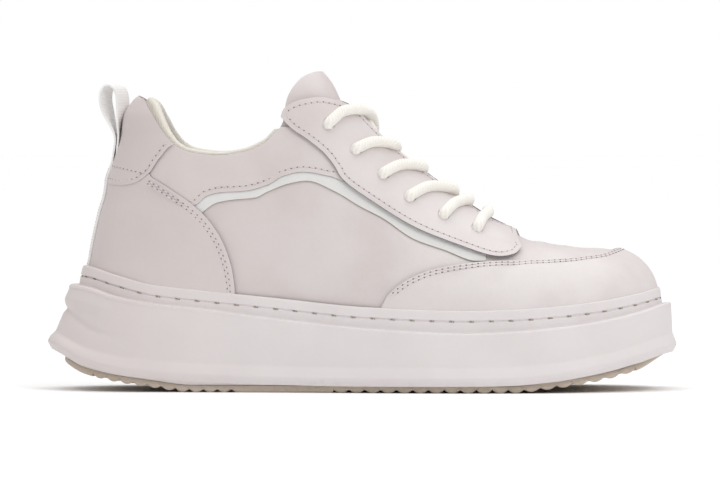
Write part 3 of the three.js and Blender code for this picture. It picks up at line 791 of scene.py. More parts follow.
class Graph:
    """One material's node tree."""

    def __init__(self, name: str) -> None:
        """Start a material with nothing in it but the object's own coordinates.

        Args:
            name: the name.
        """
        self.material = bpy.data.materials.new(f"shoe_{name}")
        self.material.use_nodes = True
        self.tree = self.material.node_tree
        self.tree.nodes.clear()
        self.place = self.node("ShaderNodeTexCoord", output="Object")

    def node(self, kind: str, settings: dict[str, object] | None = None,
             inputs: dict[str | int, object] | None = None, output: str | int = 0) -> Wire:
        """Add a node.

        Args:
            kind: the node's type.
            settings: its own settings, made first.
            inputs: values or wires for its sockets.
            output: which output to return.

        Returns:
            The chosen output.
        """
        node = self.tree.nodes.new(kind)
        for key, value in (settings or {}).items():
            setattr(node, key, value)
        for key, value in (inputs or {}).items():
            if isinstance(value, Wire):
                self.tree.links.new(value.socket, node.inputs[key])
            else:
                node.inputs[key].default_value = value
        return Wire(self, node.outputs[output])

    def axis(self, name: str) -> Wire:
        """Return one of the object's coordinates in metres."""
        return self.node("ShaderNodeSeparateXYZ", {}, {0: self.place}, name)

    def noise(self, pitch_mm: float, detail: float = 2.0) -> Wire:
        """Return cloudy noise with spots about this many millimetres apart."""
        return self.node("ShaderNodeTexNoise", {},
                         {"Vector": self.place, "Scale": 1000 / pitch_mm, "Detail": detail})

    def cells(self, pitch_mm: float) -> Wire:
        """Return rounded cells of this size in millimetres, dark in their middles."""
        return self.node("ShaderNodeTexVoronoi", {"feature": "SMOOTH_F1"},
                         {"Vector": self.place, "Scale": 1000 / pitch_mm, "Smoothness": 0.35}, "Distance")

    def shade(self) -> Wire:
        """Return the piece's own shade value."""
        return self.node("ShaderNodeAttribute", {"attribute_name": "shade"}, {}, "Fac")

    def blend(self, share: Wire | float, first: object, second: object) -> Wire:
        """Mix two colours."""
        return self.node("ShaderNodeMix", {"data_type": "RGBA"}, {0: share, 6: first, 7: second}, 2)

    def bump(self, height: Wire, depth_mm: float, under: Wire | None = None) -> Wire:
        """Turn a height into a normal, with its full depth in millimetres.

        Args:
            height: the height.
            depth_mm: its full depth, in millimetres.
            under: the normal to build on.

        Returns:
            The normal.
        """
        inputs: dict[str | int, object] = {"Height": height, "Strength": 1.0, "Distance": depth_mm * MM}
        if under is not None:
            inputs["Normal"] = under
        return self.node("ShaderNodeBump", {}, inputs)

    def surface(self, base: Wire, roughness: Wire | float, normal: Wire,
                **constants: float) -> bpy.types.Material:
        """Close the tree with the shader and return the material.

        Args:
            base: the colour.
            roughness: the roughness.
            normal: the normal.
            constants: the shader's other inputs.

        Returns:
            The finished material.
        """
        inputs: dict[str | int, object] = {"Base Color": base, "Roughness": roughness, "Normal": normal}
        inputs.update({key.replace("_", " "): value for key, value in constants.items()})
        shader = self.node("ShaderNodeBsdfPrincipled", {}, inputs)
        self.node_out(shader)
        return self.material

    def node_out(self, shader: Wire) -> None:
        """Wire the shader to the material's output."""
        output = self.tree.nodes.new("ShaderNodeOutputMaterial")
        self.tree.links.new(shader.socket, output.inputs["Surface"])


# ------------------------------------------------------------------ finishes

@dataclass(frozen=True)
class Leather:
    """Smooth full-grain leather with a soft semi-matte finish, with painted shade that darkens it towards the
    heel.
    """

    name: str = "leather"
    colour: tuple[float, ...] = tint(223, 217, 216)
    # painted shade: the darker colour the leather takes on at the heel
    heel_shade_colour: tuple[float, ...] = tint(211, 201, 199)
    shadow: tuple[float, ...] = tint(205, 194, 192)
    grain_mm: float = 0.8
    grain_depth: float = 0.035

    def build(self) -> bpy.types.Material:
        """Return the material.

        Returns:
            The finished material.
        """
        g = Graph(self.name)
        cloud = g.noise(38, 3).ease(0.36, 0.66)
        fine = g.noise(1.6, 3)
        cells = g.cells(self.grain_mm)
        # painted shade: the colour darkens from the front towards the heel
        base = g.blend(g.axis("X").ease(-0.06, 0.13), self.heel_shade_colour, self.colour)
        base = g.blend(cloud * 0.5 + fine * 0.25, base, self.shadow)
        rough = 0.46 + cloud * 0.07 + fine * 0.07
        normal = g.bump(cells * 0.7 + fine * 0.5, self.grain_depth, g.bump(g.noise(9, 2), 0.12))
        return g.surface(base, rough, normal, Sheen_Weight=0.05, Specular_IOR_Level=0.42)


@dataclass(frozen=True)
class Rubber:
    """Moulded rubber or foam with a matte skin, with painted shade that can make it darker and pinker towards
    the heel.
    """

    name: str
    colour: tuple[float, ...]
    # painted shade: the darker, pinker colour at the heel (the same as colour for the tread)
    heel_shade_colour: tuple[float, ...]
    fleck: tuple[float, ...]
    roughness: float = 0.55
    skin_depth: float = 0.03

    def build(self) -> bpy.types.Material:
        """Return the material.

        Returns:
            The finished material.
        """
        g = Graph(self.name)
        # painted shade: the share of the heel's shade colour, rising towards the heel
        heel = 1.0 - g.axis("X").ease(-0.07, 0.03)
        cloud, fine = g.noise(26, 2).ease(0.35, 0.7), g.noise(0.9, 2)
        dust = (g.noise(3.4, 4) * (1.0 - g.axis("Z").ease(0.0, 0.02))).ease(0.42, 0.75)
        base = g.blend(heel * 0.8, self.colour, self.heel_shade_colour)
        base = g.blend(cloud * 0.14 + fine * 0.12 + dust * 0.25, base, self.fleck)
        normal = g.bump(fine, self.skin_depth, g.bump(g.noise(6, 2), 0.05))
        return g.surface(base, self.roughness + fine * 0.12, normal,
                         Specular_IOR_Level=0.4, Subsurface_Weight=0.03, Subsurface_Scale=0.002)


@dataclass(frozen=True)
class Cloth:
    """Woven cloth: crossed ribs a pitch apart, with a soft nap."""

    name: str
    colour: tuple[float, ...]
    shadow: tuple[float, ...]
    pitch_mm: float = 1.1
    depth: float = 0.12
    slant: float = 1.0
    sheen: float = 0.3

    def build(self) -> bpy.types.Material:
        """Return the material.

        Returns:
            The finished material.
        """
        g = Graph(self.name)
        turn = 2 * math.pi / (self.pitch_mm * MM)
        x, y, z = g.axis("X"), g.axis("Y"), g.axis("Z")
        ribs = ((x + y * 0.6 + z * self.slant) * turn).sine()
        crossed = ((x * self.slant - y * 0.6 - z) * turn).sine()
        weave = (ribs * crossed) * 0.5 + 0.5
        fuzz = g.noise(0.5, 3)
        base = g.blend(weave * 0.35 + fuzz * 0.35 + g.noise(14, 2) * 0.2, self.colour, self.shadow)
        return g.surface(base, 0.82 + fuzz * 0.1, g.bump(1.0 - weave * 0.7 - fuzz * 0.4, self.depth),
                         Sheen_Weight=self.sheen, Specular_IOR_Level=0.2)


@dataclass(frozen=True)
class Cord:
    """Spun thread or rope with painted shade, a deeper colour, in the hollows between its strands."""

    name: str
    colour: tuple[float, ...]
    hollow_shade: tuple[float, ...]
    fibre_mm: float = 0.35

    def build(self) -> bpy.types.Material:
        """Return the material.

        Returns:
            The finished material.
        """
        g = Graph(self.name)
        fibre, cloud = g.noise(self.fibre_mm, 3), g.noise(7, 2)
        # painted shade: the shade attribute tints the hollows between the strands
        base = g.blend(g.shade() * 0.42 + fibre * 0.1 + cloud * 0.06, self.colour, self.hollow_shade)
        return g.surface(base, 0.8 + fibre * 0.1, g.bump(fibre, 0.05),
                         Sheen_Weight=0.25, Specular_IOR_Level=0.2)


@dataclass(frozen=True)
class Paint:
    """Edge paint: a thin, slightly glossy coat over a raw leather edge."""

    name: str = "edge_paint"
    colour: tuple[float, ...] = tint(128, 116, 130)
    worn: tuple[float, ...] = tint(152, 142, 150)

    def build(self) -> bpy.types.Material:
        """Return the material.

        Returns:
            The finished material.
        """
        g = Graph(self.name)
        cloud = g.noise(4, 3).ease(0.4, 0.75)
        base = g.blend(cloud * 0.5, self.colour, self.worn)
        return g.surface(base, 0.42 + cloud * 0.15, g.bump(g.noise(0.8, 2), 0.03), Specular_IOR_Level=0.4)


class Finish(Enum):
    """Every finish of the shoe, built once."""

    LEATHER = Leather()
    EDGE = Paint()
    SOLE = Rubber("sole", tint(225, 219, 219), tint(216, 206, 204), tint(202, 193, 191))
    TREAD = Rubber("tread", tint(204, 191, 176), tint(204, 191, 176), tint(160, 144, 128), 0.7, 0.06)
    PIPING = Cloth("piping", tint(234, 233, 231), tint(210, 209, 206), 0.7, 0.05, 0.4, 0.1)
    PIPING_EDGE = Paint("piping_edge", tint(158, 148, 132), tint(182, 172, 156))
    LINING = Cloth("lining", tint(243, 239, 231), tint(216, 208, 194), 1.5, 0.2)
    WEBBING = Cloth("webbing", tint(252, 251, 250), tint(232, 229, 227), 0.9, 0.05, 0.2, 0.1)
    INSOLE = Cloth("insole", tint(236, 229, 218), tint(212, 202, 188), 0.8, 0.05)
    LACE = Cord("lace", tint(250, 248, 244), tint(198, 176, 138))
    THREAD = Cord("thread", tint(222, 212, 210), tint(170, 158, 160), 0.2)
    # painted shade: the dark colour of the shadow inside needle holes
    NEEDLE = Cord("needle_holes", tint(122, 106, 114), tint(92, 80, 88), 0.3)
    SOLE_THREAD = Cord("sole_thread", tint(150, 134, 106), tint(112, 98, 74), 0.25)

    @property
    def material(self) -> bpy.types.Material:
        """Return the built material."""
        return bpy.data.materials.get(f"shoe_{self.value.name}") or self.value.build()


PAINTED = (Finish.LEATHER, Finish.EDGE, Finish.LEATHER)


# ------------------------------------------------------------------ seams

@dataclass
class Seam:
    """Rows of stitches that follow an edge on the leather.

    The edge is a line of points with the leather's outward directions and the direction
    away from the edge into the panel; distances are in millimetres.
    """

    name: str
    rows: tuple[float, ...]
    pitch: float = 2.7
    stitch: tuple[float, float, float] = (0.82, 0.24, 0.2)
    # the size of the dark bead of painted shade at each needle hole
    hole: tuple[float, float, float] = (0.42, 0.26, 0.12)
    start: float = 1.5
    close: float = 0.3
    inside_bend: float = 0.93
    look: float = 0.4

    def spots(self, edge: Array, normals: Array, inward: Array, distance: float,
              phase: float) -> tuple[Array, Array]:
        """Return stitch places and their axes along one row.

        Args:
            edge: the edge, one row per point.
            normals: the directions away from the leather.
            inward: the directions into the panel.
            distance: how far the row lies from the edge, in millimetres.
            phase: the row's shift, in pitches.

        Returns:
            The places, and the three axes at each.
        """
        line = edge + inward * distance
        if distance > self.close:
            gap = np.linalg.norm(line[:, None, :] - edge[None, :, :], axis=2).min(axis=1)
            keep = gap > distance * self.inside_bend
            line, normals = line[keep], normals[keep]
        run = run_along(line)
        at = np.arange(self.start + phase * self.pitch, run[-1] - self.start, self.pitch)
        along = unit(rows_at(at + self.look, run, line) - rows_at(at - self.look, run, line))
        up = unit(rows_at(at, run, normals))
        across = unit(np.cross(up, along))
        return rows_at(at, run, line), np.stack([along, across, unit(np.cross(along, across))], axis=1)

    def build(self, edges: list[tuple[Array, Array, Array]]) -> None:
        """Sew the rows along every edge.

        Args:
            edges: each edge, with its normals and inward directions.
        """
        places, frames = [], []
        for edge, normals, inward in edges:
            for k, distance in enumerate(self.rows):
                spots, axes = self.spots(edge, normals, inward, distance, 0.5 * (k % 2))
                places.append(spots)
                frames.append(axes)
        spots, axes = np.vstack(places), np.vstack(frames)
        sew(f"{self.name}_stitches", spots + axes[:, 2] * 0.03, axes, self.stitch, Finish.THREAD)
        # painted shade: a dark bead past each stitch stands for the shadow in its needle hole
        ends = spots + axes[:, 0] * (self.pitch / 2) + axes[:, 2] * 0.02
        sew(f"{self.name}_needle_holes", ends, axes, self.hole, Finish.NEEDLE)


def sew(name: str, spots: Array, axes: Array, size: tuple[float, float, float],
        finish: Finish) -> bpy.types.Object:
    """Set one small rounded bead per spot.

    Args:
        name: the piece's name.
        spots: places in table millimetres.
        axes: three axes a spot, as rows: along, across, up.
        size: half lengths along those axes in millimetres.
        finish: the thread's finish.

    Returns:
        The beads as one piece.
    """
    bpy.ops.object.select_all(action="DESELECT")
    bpy.ops.mesh.primitive_uv_sphere_add(segments=8, ring_count=5, radius=MM)
    bead = bpy.context.object
    in_edit(bead, lambda: bpy.ops.transform.resize(value=size))
    piece = copies(name, bead, spots, axes)
    return finish_piece(piece, "thread", [finish.material])


@dataclass
class Panel:
    """A leather panel: a map from shares (u, v) to places on the last, with its thickness."""

    name: str
    locate: Callable[[Array, Array], tuple[Array, Array]]
    lift: float
    depth: float
    columns: int
    rows: int
    round_width: float = 0.5

    def place(self, u: Array, v: Array) -> Array:
        """Return the panel's outer face."""
        return on_leather(*self.locate(u, v), self.lift)

    def build(self, slot: str, finishes: tuple[Finish, Finish, Finish], *replaced: str,
              punches: bpy.types.Object | None = None) -> bpy.types.Object:
        """Model the panel, give it a wall and a painted rim, and dress it.

        Args:
            slot: the material slot.
            finishes: for the face, the rim and the back.
            replaced: the frame's solids that it stands for.
            punches: a cutter for its holes.

        Returns:
            The finished piece.
        """
        piece = sheet(self.name, self.columns, self.rows, self.place)
        face_out(piece)
        thicken(piece, self.depth, rim=1, inner=2)
        if punches is not None:
            modify(piece, "BOOLEAN", operation="DIFFERENCE", object=punches, solver="EXACT")
        soften(piece, self.round_width, 2, 40, paint=1)
        return finish_piece(piece, slot, [finish.material for finish in finishes], *replaced)

    def edge(self, u: Array, v: Array, into: tuple[float, float]) -> tuple[Array, Array, Array]:
        """Return a line on the panel with its outward and inward directions.

        Args:
            u: the line's first shares.
            v: the line's second shares.
            into: a small step in (u, v) that leads into the panel.

        Returns:
            Points, outward directions and inward directions.
        """
        u, v = np.broadcast_arrays(np.asarray(u, float), np.asarray(v, float))
        line = self.place(u, v)
        places = self.locate(u, v)
        normals = LAST.normal(*places)
        along = unit(np.gradient(line, axis=0))
        inward = self.place(u + into[0], v + into[1]) - line
        inward -= normals * np.sum(inward * normals, axis=1, keepdims=True)
        inward -= along * np.sum(inward * along, axis=1, keepdims=True)
        return line, normals, unit(inward)


# ------------------------------------------------------------------ sole

@dataclass
class Sole:
    """The moulded cup with its ledge, groove and lip, and the tread below it.

    Each level is (line, height above it, heel share, side share): shares run from the lip's
    outline at 0 to the upper's outline at 1. Each of the tread's rings is (inset, height, share
    of the lugs' cuts), and each run of lugs is (start, end, pitch).
    """

    columns: int = 520
    heel_round: float = 44.0
    toe_round: float = 72.0
    cup_gap: float = 0.7
    groove_depth: float = 0.045
    stitch_pitch: float = 8.6
    lug_depth: float = 1.9
    rib_count: int = 640
    lateral: Track = field(default_factory=lambda: Track(
        (0, 45, 85, 115, 145, 175, 200, 225, 250, 280), (40.5, 41, 42, 44.5, 49, 53, 54, 53, 50.5, 48)))
    medial: Track = field(default_factory=lambda: Track(
        (0, 45, 85, 115, 145, 175, 200, 225, 250, 280), (40, 40, 39.5, 40.5, 45, 50.5, 53, 53, 51.5, 49)))
    levels: tuple[tuple[Track, float, float, float], ...] = (
        (TREAD, 3.2, 0.44, 0.46), (TREAD, 3.4, 0.38, 0.38), (LIP, -3.2, 0.09, 0.16), (LIP, -1.4, 0.03, 0.05),
        (LIP, -0.4, 0.005, 0.005), (LIP, 0.4, 0.003, 0.003), (LIP, 2.4, 0.06, 0.08), (LIP, 5.2, 0.19, 0.2),
        (LEDGE, -11, 0.41, 0.21), (LEDGE, -6.6, 0.4, 0.23), (LEDGE, -2.2, 0.5, 0.26),
        (LEDGE, -0.9, 0.52, 0.275), (LEDGE, -0.1, 0.57, 0.31), (LEDGE, 0.15, 0.62, 0.4),
        (LEDGE, 0.2, 0.72, 0.65), (LEDGE, 0.7, 0.745, 0.7),
        (WALL, -5.3, 0.77, 0.73), (WALL, -5.0, 0.815, 0.79), (WALL, -4.5, 0.82, 0.795),
        (WALL, -4.2, 0.78, 0.745), (WALL, -1.2, 0.82, 0.79), (WALL, -0.35, 0.84, 0.81),
        (WALL, 0.0, 0.885, 0.86))
    refine: tuple[int, ...] = (1, 5, 2, 1, 1, 3, 4, 18, 7, 4, 2, 2, 1, 2, 1, 5, 1, 1, 1, 4, 2, 1)
    notch: Track = field(default_factory=lambda: Track(
        (2, 7.8, 16.2, 22.4, 32.3, 47), (38.6, 35.9, 30.3, 26.9, 24.4, 21.8)))
    notch_depth: float = 0.95
    notch_reach: float = 1.5
    rings: tuple[tuple[float, float, float], ...] = (
        (20, 3.0, 0.0), (6.0, 3.0, 0.0), (0.9, 3.0, 0.0), (0.5, 2.2, 0.05), (0.3, 0.8, 0.9), (0.9, 0.0, 1.0),
        (3.5, 0.0, 1.0), (8.0, 0.0, 0.9), (11.5, 0.0, 0.75), (13.5, 0.0, 0.3), (20, 0.0, 0.22))
    heel_inset: float = 3.0
    lug_runs: tuple[tuple[float, float, float], ...] = ((22.0, 87.0, 6.2), (129.0, 262.0, 7.0))
    stitch: tuple[float, float, float] = (0.78, 0.18, 0.28)
    stitch_hole: tuple[float, float, float] = (0.28, 0.27, 0.24)

    def lip(self, angle: Array) -> Array:
        """Return the lip's outline.

        Args:
            angle: the columns, in radians round the shoe.

        Returns:
            One point per column.
        """
        x = SOLE_LENGTH * (1 - np.cos(angle)) / 2
        width = np.where(angle > 0, self.lateral(x), self.medial(x))
        ends = round_ends(x, 0, SOLE_LENGTH, self.heel_round, self.toe_round)
        return np.stack([x, centre_y(x) - np.sign(angle) * width * ends, np.zeros_like(x)], axis=-1)

    def wall_line(self, angle: Array, line: Track) -> Array:
        """Return the inner outline of the cup at one of the sole's lines.

        Args:
            angle: the columns, in radians round the shoe.
            line: one of the sole's long lines.

        Returns:
            One point per column.
        """
        point = LAST.outline(angle, line, self.cup_gap)
        point[..., 2] = line(point[..., 0])
        return point

    def at(self, angle: Array, line: Track, up: float, heel: Array | float, side: Array | float) -> Array:
        """Return the points of one level.

        Args:
            angle: the columns, in radians round the shoe.
            line: one of the sole's long lines.
            up: the height above the line.
            heel: the share at the heel.
            side: the share at the sides.

        Returns:
            One point per column.
        """
        lip = self.lip(angle)
        inner = LAST.outline(angle, WALL, self.cup_gap)
        heel_share = 1 - smooth_step((lip[..., 0] - 4) / 40)
        share = np.asarray(mix(side, heel, heel_share))[..., None]
        point = lip + (inner * np.array([1, 1, 0]) - lip) * share
        point[..., 2] = line(point[..., 0]) + up
        return point

    def shell(self, angle: Array, v: Array) -> Array:
        """Return the cup's skin, from the bottom edge up, over the wall and down to its floor.

        Args:
            angle: the columns, in radians round the shoe.
            v: the sheet's second direction, 0 to 1.

        Returns:
            One point per place.
        """
        steps = np.concatenate([[0], np.cumsum(self.refine)])
        total = steps[-1] + 3
        row = np.rint(v * total).astype(int)
        point = np.zeros((len(angle), 3))
        for k in range(total + 1):
            here = row == k
            if k <= steps[-1]:
                i = int(np.clip(np.searchsorted(steps, k, side="right") - 1, 0, len(self.refine) - 1))
                t = (k - steps[i]) / self.refine[i]
                low, high = self.levels[i], self.levels[i + 1]
                point[here] = mix(self.at(angle[here], *low), self.at(angle[here], *high), t)
            elif k == total:
                floor = self.wall_line(angle[here], CUP)
                floor[:, 1] = centre_y(floor[:, 0])
                point[here] = floor
            else:
                point[here] = self.wall_line(angle[here], WALL if k == steps[-1] + 1 else CUP)
        return self.heel_notch(point)

    def heel_notch(self, point: Array) -> Array:
        """Press the band that sweeps down and forward from the notch in the heel.

        Args:
            point: the points, one row each.

        Returns:
            The pressed points.
        """
        x, z = point[:, 0], point[:, 2]
        slope = (self.notch(x + 1) - self.notch(x - 1)) / 2
        gap = (z - self.notch(x)) / np.sqrt(1 + slope ** 2)
        fade = 1 - smooth_step((x - 12) / 34)
        depth = self.notch_depth * np.exp(-(gap / self.notch_reach) ** 2) * fade * (z > LIP(x) + 2)
        inward = unit(np.stack([60 - x, centre_y(x) - point[:, 1], np.zeros_like(x)], axis=1))
        return point + inward * depth[:, None]

    def tread_point(self, angle: Array, v: Array) -> Array:
        """Return the tread's skin: top middle, out to the edge, and back under the lugs.

        Args:
            angle: the columns, in radians round the shoe.
            v: the sheet's second direction, 0 to 1.

        Returns:
            One point per place.
        """
        rings = self.rings
        base = self.at(angle, *self.levels[1])
        centre = centre_y(base[:, 0])
        reach, side = np.abs(base[:, 1] - centre), -np.sign(angle)
        at = v * (len(rings) + 1)
        names = np.clip(at - 1, 0, len(rings) - 1)
        inset = np.interp(names, range(len(rings)), [ring[0] for ring in rings])
        up = np.interp(names, range(len(rings)), [ring[1] for ring in rings])
        lugs = np.interp(names, range(len(rings)), [ring[2] for ring in rings])
        heel = self.heel_inset * (1 - smooth_step((base[:, 0] - 10) / 40))
        left = np.maximum(reach - inset - heel, 0)
        left = np.where((at < 0.5) | (at > len(rings) + 0.5), 0.0, left)
        x = mix(base[:, 0], SOLE_LENGTH / 2, np.minimum(inset, 12) / (SOLE_LENGTH / 2))
        return np.stack([x, centre_y(x) + left * side, TREAD(x) + up + lugs * self.lug_notch(x)], axis=1)

    def lug_notch(self, x: Array) -> Array:
        """Return how far the tread is cut up between its rounded lugs.

        Args:
            x: positions along the shoe, in millimetres.

        Returns:
            One value per position.
        """
        cut = np.zeros_like(x)
        for start, end, pitch in self.lug_runs:
            phase = (x - start) / pitch
            lug = np.abs(np.sin(np.pi * phase)) ** 0.55
            cut += np.where((x > start) & (x < end), self.lug_depth * (1 - lug), 0)
        return cut

    def rim_ribs(self, u: Array, v: Array) -> Array:
        """Return the rounded rim of the ledge with its fine upright ribs.

        Args:
            u: the sheet's first direction, 0 to 1.
            v: the sheet's second direction, 0 to 1.

        Returns:
            One point per place.
        """
        angle = (u * 2 - 1) * math.pi
        levels = self.levels[10:15]
        at = v * (len(levels) - 1)
        i = np.clip(at.astype(int), 0, len(levels) - 2)
        t = at - i
        point = np.zeros((len(u), 3))
        for k in range(len(levels) - 1):
            here = i == k
            low, high = self.at(angle[here], *levels[k]), self.at(angle[here], *levels[k + 1])
            point[here] = mix(low, high, t[here, None])
        x = point[:, 0]
        strength = 0.18 + 0.2 * (1 - smooth_step((x - 30) / 70))
        wave = 0.5 + 0.5 * np.cos(u * self.rib_count * 2 * math.pi)
        belly = np.sin(np.pi * np.clip(v, 0, 1)) ** 0.6
        outward = unit(point * np.array([1, 1, 0]) - np.stack([x * 0.6 + 56, centre_y(x), 0 * x], axis=1))
        outward = unit(outward + np.array([0, 0, 0.35]))
        return point + outward * (belly * (0.12 + strength * wave) - 0.12)[:, None]

    def build(self) -> None:
        """Model the cup, its rim and stitches, and the tread."""
        rows = sum(self.refine) + 3
        cup = sheet("sole_cup", self.columns, rows, lambda u, v: self.shell((u * 2 - 1) * math.pi, v))
        in_edit(cup, lambda: bpy.ops.mesh.select_non_manifold(extend=False),
                lambda: bpy.ops.mesh.edge_face_add(), lambda: bpy.ops.mesh.select_all(action="SELECT"))
        close_up(cup)
        smooth(cup, 38)
        finish_piece(cup, "sole", [Finish.SOLE.material], "cupsole")
        rim = sheet("sole_rim", self.rib_count * 3, 10, self.rim_ribs)
        face_out(rim)
        smooth(rim, 60)
        finish_piece(rim, "sole", [Finish.SOLE.material])
        tread = sheet("tread", 1200, 24, lambda u, v: self.tread_point((u * 2 - 1) * math.pi, v))
        close_up(tread)
        smooth(tread, 50)
        finish_piece(tread, "tread", [Finish.TREAD.material], "outsole")
        self.sew_groove()

    def sew_groove(self) -> None:
        """Lay the long stitches in the groove of the wall."""
        angle = np.linspace(-math.pi, math.pi, 2400)
        line = mix(self.at(angle, *self.levels[17]), self.at(angle, *self.levels[18]), 0.5)
        inner = np.stack([line[:, 0] * 0.7 + 42, centre_y(line[:, 0]), 0 * angle], 1)
        line = line + unit(line * np.array([1, 1, 0]) - inner) * 0.28
        run = run_along(line)
        count = int(run[-1] / self.stitch_pitch)
        at = (np.arange(count) + 0.5) * run[-1] / count
        spots, ahead = rows_at(at, run, line), rows_at(at + 0.5, run, line)
        along = unit(ahead - spots)
        up = unit(np.cross(along, np.array([0, 0, 1.0])))
        axes = np.stack([along, unit(np.cross(up, along)), up], axis=1)
        slant = unit(axes[:, 0] - axes[:, 1] * 0.12)
        axes = np.stack([slant, unit(np.cross(axes[:, 2], slant)), axes[:, 2]], axis=1)
        sew("groove_stitches", spots, axes, self.stitch, Finish.SOLE_THREAD)
        sew("groove_needle_holes", spots + axes[:, 0] * 1.2, axes, self.stitch_hole, Finish.SOLE_THREAD)


# ------------------------------------------------------------------ upper

@dataclass
class Upper:
    """The leather shell and everything sewn on it."""

    wall: float = 2.0
    eyelet_radius: float = 2.7
    eyestay_lift: float = 2.35
    eyestay_depth: float = 2.0
    panel_lift: float = 1.55
    panel_depth: float = 1.2
    heel_strip_half: float = 5.6
    row_crowding: float = 1.25
    mudguard_foot: float = 31.0
    counter_foot: float = 41.0
    tab_front: tuple[float, float] = (58.0, 108.4)
    eyestay_top: tuple[tuple[float, float], ...] = (
        (105.25, 120.45), (105.9, 122.9), (107.6, 125), (110.4, 126.6), (114, 127.8), (121.6, 128.8),
                                                   (127.5, 127.6), (131.5, 126.2), (135.5, 123.6))

    def shell_place(self, u: Array, v: Array) -> Array:
        """Return the shell's outer face.

        Args:
            u: the sheet's first direction, 0 to 1.
            v: the sheet's second direction, 0 to 1.

        Returns:
            One point per place.
        """
        angle = (u * 2 - 1) * math.pi
        top = LAST.exits(angle, lambda point: ~in_opening(point))
        out = mix(1.0, top, 1 - (1 - v) ** self.row_crowding)
        return on_leather(angle, out, 0.0)

    def punches(self, side: Side) -> bpy.types.Object:
        """Return a cutter with one round pin per eyelet.

        Args:
            side: which side of the shoe.

        Returns:
            The cutter.
        """
        pins = []
        for x, z in EYELETS:
            angle, out = LAST.from_side(np.array([x]), np.array([z]), side.value)
            centre, normal = LAST.point(angle, out)[0], LAST.normal(angle, out)[0]
            bpy.ops.object.select_all(action="DESELECT")
            bpy.ops.mesh.primitive_cylinder_add(vertices=28, radius=self.eyelet_radius * MM, depth=12 * MM)
            pin = bpy.context.object
            side_axis = unit(np.cross(normal, np.array([1.0, 0, 0])))
            axes = np.stack([unit(np.cross(side_axis, normal)), side_axis, normal])
            set_vertices(pin, vertex_array(pin) @ axes + to_frame(centre[None]))
            pins.append(pin)
        select_only(*pins)
        bpy.ops.object.join()
        cutter = bpy.context.object
        close_up(cutter)
        return cutter

    def build(self) -> None:
        """Model the shell and its panels."""
        shell = sheet("upper_shell", 360, 54, self.shell_place)
        face_out(shell)
        thicken(shell, self.wall, rim=1, inner=1)
        for side in Side:
            cutter = self.punches(side)
            modify(shell, "BOOLEAN", operation="DIFFERENCE", object=cutter, solver="EXACT")
            self.eyestay(side, cutter)
            bpy.data.objects.remove(cutter)
        soften(shell, 0.5, 2, 50)
        finish_piece(shell, "leather", [Finish.LEATHER.material, Finish.LINING.material], "upper")
        for side in Side:
            self.collar_panel(side)
            self.piping(side)
        self.heel_counter()
        self.heel_tab()
        self.heel_strip()
        self.mudguard()
        self.perforations()

    def collar_panel(self, side: Side) -> None:
        """Add the panel between the topline and the wavy edge below it.

        Args:
            side: which side of the shoe.
        """

        def locate(u: Array, v: Array) -> tuple[Array, Array]:
            """Return the panel's places on the last.

            Args:
                u: the sheet's first direction, 0 to 1.
                v: the sheet's second direction, 0 to 1.

            Returns:
                The angles and the shares out.
            """
            x = mix(45.0, 133.0, u)
            inner = Track((105, 110, 117, 124, 134), (116.5, 117, 113.2, 107, 97))
            rear = np.minimum(TOPLINE(x) + 0.05, 100 + (x - 45) * 0.9)
            top = np.where(x < 105, rear, np.minimum(inner(x), 116.5))
            bottom = np.where(x > 127, mix(WAVE_EDGE(x), 95, 0.3), WAVE_EDGE(x))
            return LAST.from_side(x, mix(bottom, np.maximum(top, bottom + 0.6), v), side.value)
        panel = Panel(f"collar_panel_{side.name.lower()}", locate, 1.05, 0.9, 120, 24)
        panel.build("leather", PAINTED)
        u = np.linspace(0.2, 0.97, 200)
        Seam(panel.name, (2.3,)).build([panel.edge(u, 0 * u, (0, 0.05))])

    def piping(self, side: Side) -> None:
        """Add the pale strip that shows below the collar panel and the eyestay.

        Args:
            side: which side of the shoe.
        """

        def locate(u: Array, v: Array) -> tuple[Array, Array]:
            """Return the panel's places on the last.

            Args:
                u: the sheet's first direction, 0 to 1.
                v: the sheet's second direction, 0 to 1.

            Returns:
                The angles and the shares out.
            """
            x = mix(58.0, 196.0, u)
            return LAST.from_side(x, PIPING_EDGE(x) + 7.0 * v, side.value)
        panel = Panel(f"piping_{side.name.lower()}", locate, 0.62, 0.6, 180, 5, 0.2)
        panel.build("piping", (Finish.PIPING, Finish.PIPING_EDGE, Finish.LEATHER))

    def eyestay_lines(self, side: Side) -> tuple[Array, Array]:
        """Return the outer and inner edges of an eyestay as rows of (angle, out).

        Args:
            side: which side of the shoe.

        Returns:
            The outer and the inner edge.
        """
        low = spline(np.array(EYESTAY_EDGE), 180)
        outer = np.stack(LAST.from_side(low[:, 0], low[:, 1], side.value), axis=1)
        front_x = np.array([210.6, 209.6, 208.6, 207.9, 207.6, 207.5])
        reach = abs(LAST.point(*outer[-1])[1] - centre_y(210.9)) * np.array([0.93, 0.8, 0.6, 0.4, 0.2, 0.0])
        front = np.stack(LAST.from_above(front_x, side.value * np.maximum(reach, 1e-3)), axis=1)
        top = spline(np.array(self.eyestay_top), 40)
        inner = np.stack(LAST.from_side(top[:, 0], top[:, 1], side.value), axis=1)
        edge_x = np.linspace(139.0, THROAT_END_X - THROAT_HALF, 60)
        turn = np.linspace(0, math.pi / 2, 16)[1:]
        edge_x = np.concatenate([edge_x, THROAT_END_X - THROAT_HALF + np.sin(turn) * THROAT_HALF])
        edge_y = np.concatenate([np.full(60, THROAT_HALF), np.cos(turn) * THROAT_HALF])
        slot = np.stack(LAST.from_above(edge_x, side.value * np.maximum(edge_y, 1e-3)), axis=1)
        return self.even(np.vstack([outer, front])), self.even(np.vstack([inner, slot]))

